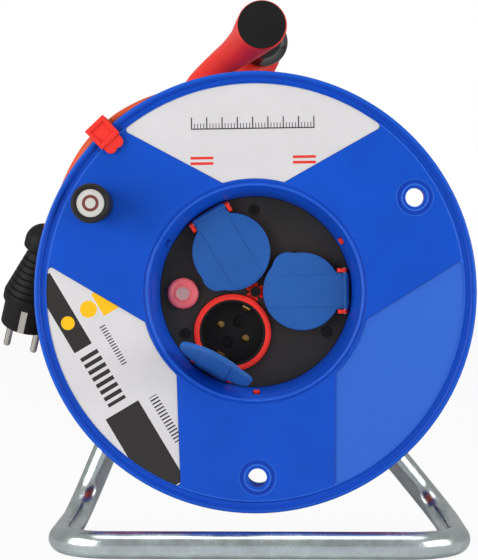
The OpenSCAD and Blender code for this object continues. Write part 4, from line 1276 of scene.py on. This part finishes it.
@dataclass
class Stand:
    """The bent tube: two slanting rear legs, two side bars and a front bar.

    The bends are radii, the foot is the centre line's height, and the tops are
    heights over the floor. The left leg leans by its run for its rise, and the
    right one leads to the axle.
    """

    radius: float = 9.0
    wall: float = 1.5
    leg_bend: float = 30.0
    bar_bend: float = 35.0
    foot: float = 9.0
    bar_y: float = -12.0
    leg_y: float = 126.0
    left_x: float = -129.0
    right_x: float = 134.0
    left_lean: float = 0.42
    left_top: float = 222.0
    right_top: float = 203.0
    sides: int = 48

    def corners(self) -> Rows:
        """Corners and bends of the centre line, from the left leg's top to the right one's."""
        floor = self.foot - AXLE[2]
        right_lean = self.right_x / (AXLE[2] - self.foot)
        left_rise, right_rise = self.left_top - self.foot, self.right_top - self.foot
        return (
            (self.left_x + self.left_lean * left_rise, self.leg_y, floor + left_rise, 0.0),
            (self.left_x, self.leg_y, floor, self.leg_bend),
            (self.left_x, self.bar_y, floor, self.bar_bend),
            (self.right_x, self.bar_y, floor, self.bar_bend),
            (self.right_x, self.leg_y, floor, self.leg_bend),
            (self.right_x - right_lean * right_rise, self.leg_y, floor + right_rise, 0.0),
        )

    def build(self) -> None:
        """Makes the tube with its bore, open at both tops."""
        path, lean = bent_line(self.corners(), 14), np.ones(3)
        outside = tube_rings(path, self.radius, self.sides, lean)
        inside = tube_rings(path, self.radius - self.wall, self.sides, lean)[::-1]
        shell = Shell().add(np.vstack([outside, inside]), loop=True)
        fit_piece(shell, "stand_bent_tube", "stand", Palette.zinc, "stand_tube")


@dataclass
class Handle:
    """The carrying handle: red arm and horn round a black grip.

    Attributes:
        axis: X and Z of the grip's axis.
        sides: Points round the arm and the horn.
        lip: Round of the horn's mouth.
        cap_radius: Radius of the round cap.
        cap_depths: Depth of the cap's middle, of its edge's round and of its back.
        cap_dome: How far the cap's middle stands out.
        grip_radius: Radius of the soft sleeve.
        grip_ends: Depths of its two ends.
        waist: Depth, half length and cut of its waist.
        finger: Length and height of its finger waves.
        stop: Radius, depth and rounding of the glossy stop's corners.
        knuckle: Radius and depth of the knuckle before its dome.
        dome: Radius lost on the knuckle's dome, and the dome's length.
        horn: Centre line and half widths of the horn's stations.
        arm: Centre line and half widths of the arm's stations.
    """

    axis: Pair = (4.2, 177.0)
    sides: int = 64
    lip: float = 1.3
    cap_radius: float = 16.0
    cap_depths: Point = (18.4, 19.4, 20.5)
    cap_dome: float = 0.7
    grip_radius: float = 13.02
    grip_ends: Pair = (34.0, 120.0)
    waist: Point = (82.0, 16.0, 0.9)
    finger: Pair = (21.0, 0.18)
    stop: Rows = (
        (6.0, 119.0, 0.1), (13.0, 119.0, 0.6), (13.6, 122.0, 2.0), (15.2, 127.0, 3.0), (17.7, 131.5, 1.8),
        (17.7, 136.2, 0.8), (6.0, 136.2, 0.1),
    )
    knuckle: Rows = ((0.4, 137.0), (15.6, 137.0), (16.2, 137.8))
    dome: Point = (148.0, 11.2, 12.0)
    horn: Rows = (
        (4.2, 20.5, 177.0, 16.3, 16.3),
        (4.2, 22.5, 177.0, 16.6, 16.6),
        (4.2, 26.0, 177.0, 16.7, 16.6),
        (3.3, 34.0, 176.8, 16.7, 16.3),
        (1.0, 45.0, 175.2, 16.2, 15.0),
        (-4.0, 62.0, 171.0, 14.6, 12.4),
        (-12.3, 80.0, 165.7, 12.6, 10.4),
        (-21.8, 97.0, 160.2, 11.2, 9.4),
        (-32.0, 113.0, 152.5, 10.8, 9.6),
        (-41.0, 126.0, 143.0, 11.2, 10.8),
        (-47.0, 135.0, 130.0, 12.0, 12.0),
    )
    arm: Rows = (
        (4.2, 149.0, 177.0, 15.0, 11.8),
        (0.6, 149.0, 166.0, 14.6, 12.0),
        (-8.0, 147.5, 155.0, 15.2, 13.2),
        (-20.0, 144.0, 143.0, 16.5, 14.5),
        (-32.0, 139.0, 128.0, 18.0, 15.0),
        (-40.0, 135.0, 110.0, 20.0, 14.5),
        (-43.0, 131.0, 90.0, 22.0, 14.0),
        (-42.0, 128.0, 70.0, 25.0, 13.5),
        (-39.0, 126.0, 50.0, 29.0, 13.5),
    )

    def build(self) -> None:
        """Makes the five parts of the handle."""
        place = Place.on_axle(0.0, (self.axis[0], 0.0, self.axis[1]))
        stop = Shell().turn(rounded(self.stop, 6), place, loop=True)
        parts = (
            (self._horn(), "handle_red_horn", Palette.red, "handle_horn"),
            (self._arm(place), "handle_red_arm", Palette.red, "handle_arm"),
            (self._grip(place), "grip_soft_sleeve", Palette.grip, "grip_sleeve"),
            (stop, "grip_gloss_stop", Palette.gloss, "grip_collar"),
            (self._cap(place), "grip_round_cap", Palette.grip, "grip_end_cap"),
        )
        for shell, name, finish, node in parts:
            fit_piece(shell, name, "stand", finish, node)

    def _limb(self, stations: Rows) -> Array:
        """Oval rings along a curve through stations [x, y, z, wide, high]."""
        line = spline(stations, 9)
        return tube_rings(line[:, :3], line[:, 3], self.sides, ALONG_X, line[:, 4])

    def _horn(self) -> Shell:
        """The horn, with a rolled lip round the end cap."""
        rings = self._limb(self.horn)
        centre = rings[0].mean(axis=0)
        turn = np.linspace(0.0, np.pi / 2, 6)[:-1]
        share = 1.0 - self.lip * (1 - np.sin(turn)) / self.horn[0][3]
        edge = centre + (rings[0] - centre)[None] * share[:, None, None]
        edge[..., 1] -= self.lip * np.cos(turn)[:, None]
        return Shell().add(np.vstack([edge, rings]))

    def _arm(self, place: Place) -> Shell:
        """The rising arm, with the domed knuckle at the grip's rear end."""
        start, loss, length = self.dome
        radius = self.knuckle[-1][0]
        arc = np.linspace(0.0, np.pi / 2, 14)
        dome = np.stack([radius - loss * (1 - np.cos(arc)), start + length * np.sin(arc)], -1)
        dome[-1, 0] = 0.0
        profile = np.vstack([self.knuckle, dome, [[self.knuckle[0][0], start + length]]])
        return Shell().add(self._limb(self.arm)).turn(profile, place)

    def _grip(self, place: Place) -> Shell:
        """The soft sleeve, waisted for the hand by a bell curve and faint waves."""
        middle, spread, cut = self.waist
        step, height = self.finger
        y = np.linspace(*self.grip_ends, 60)
        radius = self.grip_radius - cut * np.exp(-(((y - middle) / spread) ** 2))
        radius += height * np.cos((y - middle) * 2 * np.pi / step)
        return Shell().turn(np.stack([radius, y], -1), place)

    def _cap(self, place: Place) -> Shell:
        """The round cap in the horn's mouth, faintly domed: depth grows with r squared."""
        front, edge, back = self.cap_depths
        outer = self.cap_radius
        r = np.linspace(0.3, outer - 0.4, 16)
        face = np.stack([r, front + self.cap_dome * (r / outer) ** 2], -1)
        rim = [[outer - 0.1, edge], [outer, edge + 0.4], [outer, back], [0.3, back]]
        return Shell().turn(np.vstack([face, rim]), place)


# --------------------------------------------------------------------------
# Drum front: lids, button and knob
# --------------------------------------------------------------------------


@dataclass
class SocketLid:
    """One hinged lid: a disc with a finger lobe, a raised band and a hinge eye.

    The socket, the lobe's circle and the hinge are given by their distances from
    the axle or, for the lobe, from the socket; the tongue by its half width.
    """

    number: int
    angle: float
    opened: float
    socket_radius: float = 31.0
    disc: float = 25.8
    lobe_at: float = 18.4
    lobe_angle: float = 120.0
    lobe: float = 10.1
    tongue: float = 12.0
    hinge_x: float = 59.5
    hinge_y: float = 15.3
    eye: float = 2.7
    back: float = 16.2
    thick: float = 3.0
    raise_by: float = 0.5
    band_inset: float = 1.4

    def _outline(self, spare: float = 0.0, widest: float = math.inf) -> Array:
        """The lid's outline about the socket's centre.

        In each direction the edge is the furthest of the disc, the lobe's
        circle and the tongue's sides, with fillets between them.

        Args:
            spare: How far the outline is drawn in.
            widest: Half width at which the outline is cut off.

        Returns:
            Points in X and Z, shape (n, 2).
        """
        phi = np.radians(np.arange(0.0, 360.0, 1.5))
        turn = phi - math.radians(self.lobe_angle)
        beyond = self.lobe**2 - (self.lobe_at * np.sin(turn)) ** 2
        lobe = self.lobe_at * np.cos(turn) + np.sqrt(np.maximum(beyond, 0))
        lobe = np.where((beyond > 0) & (np.cos(turn) > 0), lobe, 0)
        reach = self.hinge_x - self.socket_radius
        cos, sin = np.maximum(np.cos(phi), 1e-6), np.maximum(np.abs(np.sin(phi)), 1e-6)
        tongue = np.where(np.cos(phi) > 0.05, np.minimum(reach / cos, self.tongue / sin), 0)
        edge = soft_max(soft_max(np.full_like(phi, self.disc), lobe, 0.35), tongue, 0.25) - spare
        edge = np.minimum(edge, widest / sin)
        return np.stack([self.socket_radius + edge * np.cos(phi), edge * np.sin(phi)], -1)

    def build(self) -> None:
        """Makes the lid where it stands open."""
        place = Place.on_axle(self.angle).hinged((self.hinge_x, self.hinge_y), self.opened)
        front = self.back - self.thick
        band = self._outline(self.band_inset, self.tongue - 1.5)
        z = np.linspace(-self.tongue, self.tongue, 9)
        centre = np.stack([np.full_like(z, self.hinge_x), np.full_like(z, self.hinge_y), z], -1)
        ends = np.minimum(1.0, 0.82 + (self.tongue - np.abs(z)) / 1.5)
        shell = Shell()
        shell.add(slab_rings(self._outline(), rounded_layers(front, self.back, 0.8)), place=place)
        shell.add(slab_rings(band, rounded_layers(front - self.raise_by, self.back - 1.0, 0.35)), place=place)
        shell.add(tube_rings(centre, self.eye * ends, 32, ALONG_X), place=place)
        name = f"socket_lid_{self.number}"
        fit_piece(shell, f"{name}_cover", name, Palette.lid, f"lid_{self.number}")


@dataclass
class ResetButton:
    """The cut-out's soft pink cap: a rolled rim, a ring and a sunk middle.

    Attributes:
        axis: X and Z of its axis.
        profile: Radius, depth and rounding of each corner of cap and plunger.
    """

    axis: Pair = (-48.0, -1.0)
    profile: Rows = (
        (0.2, 15.4, 0.0), (3.4, 15.4, 0.3), (3.9, 14.9, 0.3), (5.4, 14.9, 0.3), (5.9, 15.6, 0.2),
        (6.3, 15.6, 0.2), (7.4, 15.9, 0.8), (9.3, 16.6, 1.2), (10.4, 18.2, 1.2), (10.4, 20.8, 0.3),
        (3.5, 20.8, 0.2), (3.5, 31.0, 0.4), (0.2, 31.0, 0.0),
    )

    def build(self) -> None:
        """Makes the cap and its plunger as one turned piece."""
        place = Place.on_axle(0.0, (self.axis[0], 0.0, self.axis[1]))
        shell = Shell().turn(rounded(self.profile, 5, closed=False), place)
        fit_piece(shell, "reset_soft_cap", "reset", Palette.button, "reset_button")


@dataclass
class CrankKnob:
    """The crank knob: a waisted black grip with a bezel and a grey disc.

    Its disc sits under a lip, over a hollow of a radius and a depth.
    """

    distance: float = 119.0
    angle: float = 151.0
    radius: float = 12.8
    height: float = 40.0
    disc: float = 9.65
    lip: float = 8.9
    bore: float = 4.05
    hollow: Pair = (7.0, -33.7)

    def build(self) -> None:
        """Makes the grip and the disc."""
        x, z = polar(self.distance, self.angle)
        place = Place.on_axle(0.0, (float(x), 0.0, float(z)))
        top, (wide, deep) = -self.height, self.hollow
        corners = (
            (self.bore, -0.4, 0.2),
            (10.6, -0.4, 0.8),
            (11.6, -2.0, 2.0),
            (11.0, -12.0, 6.0),
            (12.2, -26.0, 6.0),
            (self.radius, top + 6.0, 2.0),
            (self.radius, top + 1.8, 1.2),
            (self.radius - 1.6, top, 1.2),
            (self.disc + 1.3, top, 0.4),
            (self.disc + 0.9, top + 0.4, 0.3),
            (self.lip, top + 0.4, 0.12),
            (self.lip, top + 0.75, 0.1),
            (self.disc, top + 0.75, 0.1),
            (self.disc, top + 2.2, 0.1),
            (wide, top + 2.2, 0.1),
            (wide, deep, 0.1),
            (self.bore, deep, 0.1),
        )
        grip = Shell().turn(rounded(corners, 6), place, loop=True)
        fit_piece(grip, "crank_knob_grip", "crank_knob", Palette.knob, "knob_grip")
        r = np.linspace(0.2, self.disc - 0.35, 12)
        dome = np.stack([r, top + 0.45 + 0.35 * (r / self.disc) ** 2], -1)
        rim = [[self.disc - 0.05, top + 0.95], [self.disc - 0.05, top + 1.6], [0.2, top + 1.6]]
        disc = Shell().turn(np.vstack([dome, rim]), place)
        fit_piece(disc, "crank_knob_disc", "crank_knob", Palette.knob_cap, "knob_cap")


# --------------------------------------------------------------------------
# Plug
# --------------------------------------------------------------------------


@dataclass
class Plug:
    """The moulded plug: ribbed boot and body, round the pins and earth strips.

    Attributes:
        top: Centre of the boot's round end.
        face: Centre of the pin face.
        side: Direction across the pins, before it is made square.
        boot: Radius of the boot's round end.
        collar_s: Distance from the boot's centre to the collar.
        cone: Start of the ribbed cone, and its radii at the start and the collar.
        ribs: Ribs on the cone.
        rib_depth: Depth of the grooves between them.
        collar: Radius of the collar.
        body: Radius of the body behind the pin face.
        slot: Start, half width and depth of the slots for the earth strips.
    """

    top: Point = (-144.4, 48.0, 33.4)
    face: Point = (-159.9, 70.8, -23.8)
    side: Point = (17.3, 0.0, -4.7)
    boot: float = 12.4
    collar_s: float = 38.6
    cone: Point = (9.0, 9.3, 18.6)
    ribs: int = 7
    rib_depth: float = 1.1
    collar: float = 18.9
    body: float = 16.9
    slot: Point = (8.4, 2.6, 1.8)

    def place(self) -> Place:
        """The plug's own axes: Y from the boot to the pins, X across the pins."""
        top, side = np.array(self.top), np.array(self.side)
        along = unit(np.array(self.face) - top)
        across = unit(side - along * (side @ along))
        return Place(top, across, along, np.cross(across, along))

    def build(self) -> list[bpy.types.Object]:
        """Makes the boot and body, and names the solids that stay.

        Returns:
            Every piece that goes with the lead's end.
        """
        boot = fit_piece(self._boot(), "plug_ribbed_boot", "stand", Palette.plug, "plug_boot")
        body = fit_piece(self._body(), "plug_round_body", "stand", Palette.plug, "plug_body")
        return [boot, body, bpy.data.objects["plug_pins"], bpy.data.objects["plug_earth_strips"]]

    def _boot(self) -> Shell:
        """Round end, neck and a cone whose ribs rise and fall as rounded steps."""
        turn = np.radians(np.linspace(-88.0, 0.0, 20))
        ball = np.stack([self.boot * np.cos(turn), self.boot * np.sin(turn)], -1)
        start, low, high = self.cone
        corners = (
            (self.boot, 0.0, 0.0), (self.boot, 4.3, 0.5), (self.boot - 0.7, 5.0, 0.5), (low - 0.6, 7.4, 1.0),
            (low, start, 0.0),
        )
        shoulder = rounded(corners, 5, closed=False)
        s = np.linspace(start, self.collar_s, self.ribs * 14 + 1)
        share = (s - start) / (self.collar_s - start)
        phase = (share * self.ribs) % 1.0
        groove = ease((phase - 0.62) / 0.12) * (1 - ease((phase - 0.86) / 0.12))
        cone = np.stack([low + (high - low) * share - self.rib_depth * groove, s], -1)
        profile = np.vstack([ball, shoulder[1:-1], cone, [[0.3, self.collar_s]]])
        return Shell().turn(profile, self.place(), sides=80)

    def _body(self) -> Shell:
        """Collar and face cylinder, with a slot on either side for the earth strips.

        The grid is turned about Y at angles that crowd at the slots' edges. A
        point within a slot's angles, further along than its start, keeps x and
        takes z = sign(z) min(|z|, floor).
        """
        c, end = self.collar_s, math.dist(self.top, self.face)
        start, half, depth = self.slot
        corners = (
            (0.3, c, 0.0),
            (self.collar - 0.4, c, 0.3),
            (self.collar, c + 0.8, 0.5),
            (self.collar, c + 6.2, 0.8),
            (self.collar - 0.6, c + 7.2, 0.4),
            (self.body, c + 7.6, 0.2),
            (self.body, c + start, 0.0),
            (self.body, c + start + 0.02, 0.0),
            (self.body, end, 1.2),
            (0.3, end, 0.0),
        )
        profile = rounded(corners, 6, closed=False)
        edge, thin = math.asin(half / self.body), 0.001
        near = np.array([-edge - thin, -edge + thin, -edge / 2, 0.0, edge / 2, edge - thin, edge + thin])
        side = np.concatenate([near, np.linspace(edge, np.pi - edge, 38)[1:-1]])
        turn = np.concatenate([side, side + np.pi]) + np.pi / 2
        r, s = profile[:, :1], profile[:, 1:]
        x, z = r * np.cos(turn), r * np.sin(turn)
        within = (np.abs(np.cos(turn)) < half / self.body) & (s > c + start + 0.01)
        z = np.where(within, np.sign(z) * np.minimum(np.abs(z), self.body - depth), z)
        return Shell().add(np.stack([x, np.broadcast_to(s, x.shape), z], -1), place=self.place())


# --------------------------------------------------------------------------
# The reel
# --------------------------------------------------------------------------


@dataclass
class Reel:
    """The whole reel: the pieces made here and the finishes of the solids kept.

    Attributes:
        lids: Number, direction and opening of each lid.
        kept: The solids that stay, after the finish that they get.
    """

    lids: tuple[tuple[int, float, float], ...] = ((1, 120.8, 0.0), (2, 0.8, 0.0), (3, 240.8, 75.0))
    kept: tuple[tuple[Finish, tuple[str, ...]], ...] = (
        (Palette.flange, ("front_flange", "rear_flange", "barrel")),
        (Palette.bush, ("hub_bush",)),
        (Palette.red, ("socket_carrier", "rim_clip")),
        (Palette.cover, ("socket_cover",)),
        (Palette.socket, ("thermal_cutout", "cord_clamp", "well_insert_1", "well_insert_2", "well_insert_3")),
        (Palette.grip, ("cord_grommet",)),
        (Palette.seal, ("lid_seal_1", "lid_seal_2", "lid_seal_3")),
        (Palette.screw, ("cover_screws",)),
        # the contact sleeves take the darkened brass: painted shade in the pin holes
        (Palette.shadowed_brass, ("contact_sleeves",)),
        (Palette.brass, ("earth_clips", "busbars")),
        (Palette.dark_steel, ("button_spring", "axle_clip")),
        (Palette.steel, ("hub_bracket", "bracket_bolts", "axle", "axle_nut", "axle_washers", "knob_axle")),
        (Palette.steel, ("handle_screws", "flange_screws", "lid_pin_1", "lid_pin_2", "lid_pin_3")),
        (Palette.nickel, ("plug_pins", "plug_earth_strips")),
        (Palette.top_film, ("top_label",)),
        (Palette.side_film, ("side_label",)),
    )

    def build(self, nodes: dict[str, bpy.types.Object]) -> None:
        """Makes every piece and dresses every solid that stays.

        Args:
            nodes: The frame's solids by name.
        """
        lead = FreeLead()
        WoundCord().build(lead.path()[:2])
        CordTail().build()
        lead.build(Plug().build())
        Stand().build()
        Handle().build()
        for number, angle, opened in self.lids:
            SocketLid(number, angle, opened).build()
        ResetButton().build()
        CrankKnob().build()
        for finish, names in self.kept:
            for name in names:
                dress(nodes[name], finish)


def main() -> None:
    """Loads the frame and builds the studio and the reel."""
    logging.basicConfig(level=logging.INFO, format="%(name)s %(message)s")
    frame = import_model()
    bpy.context.scene.view_settings.view_transform = "Standard"
    Studio().build()
    Reel().build(frame["nodes"])


if __name__ == "__main__":
    main()
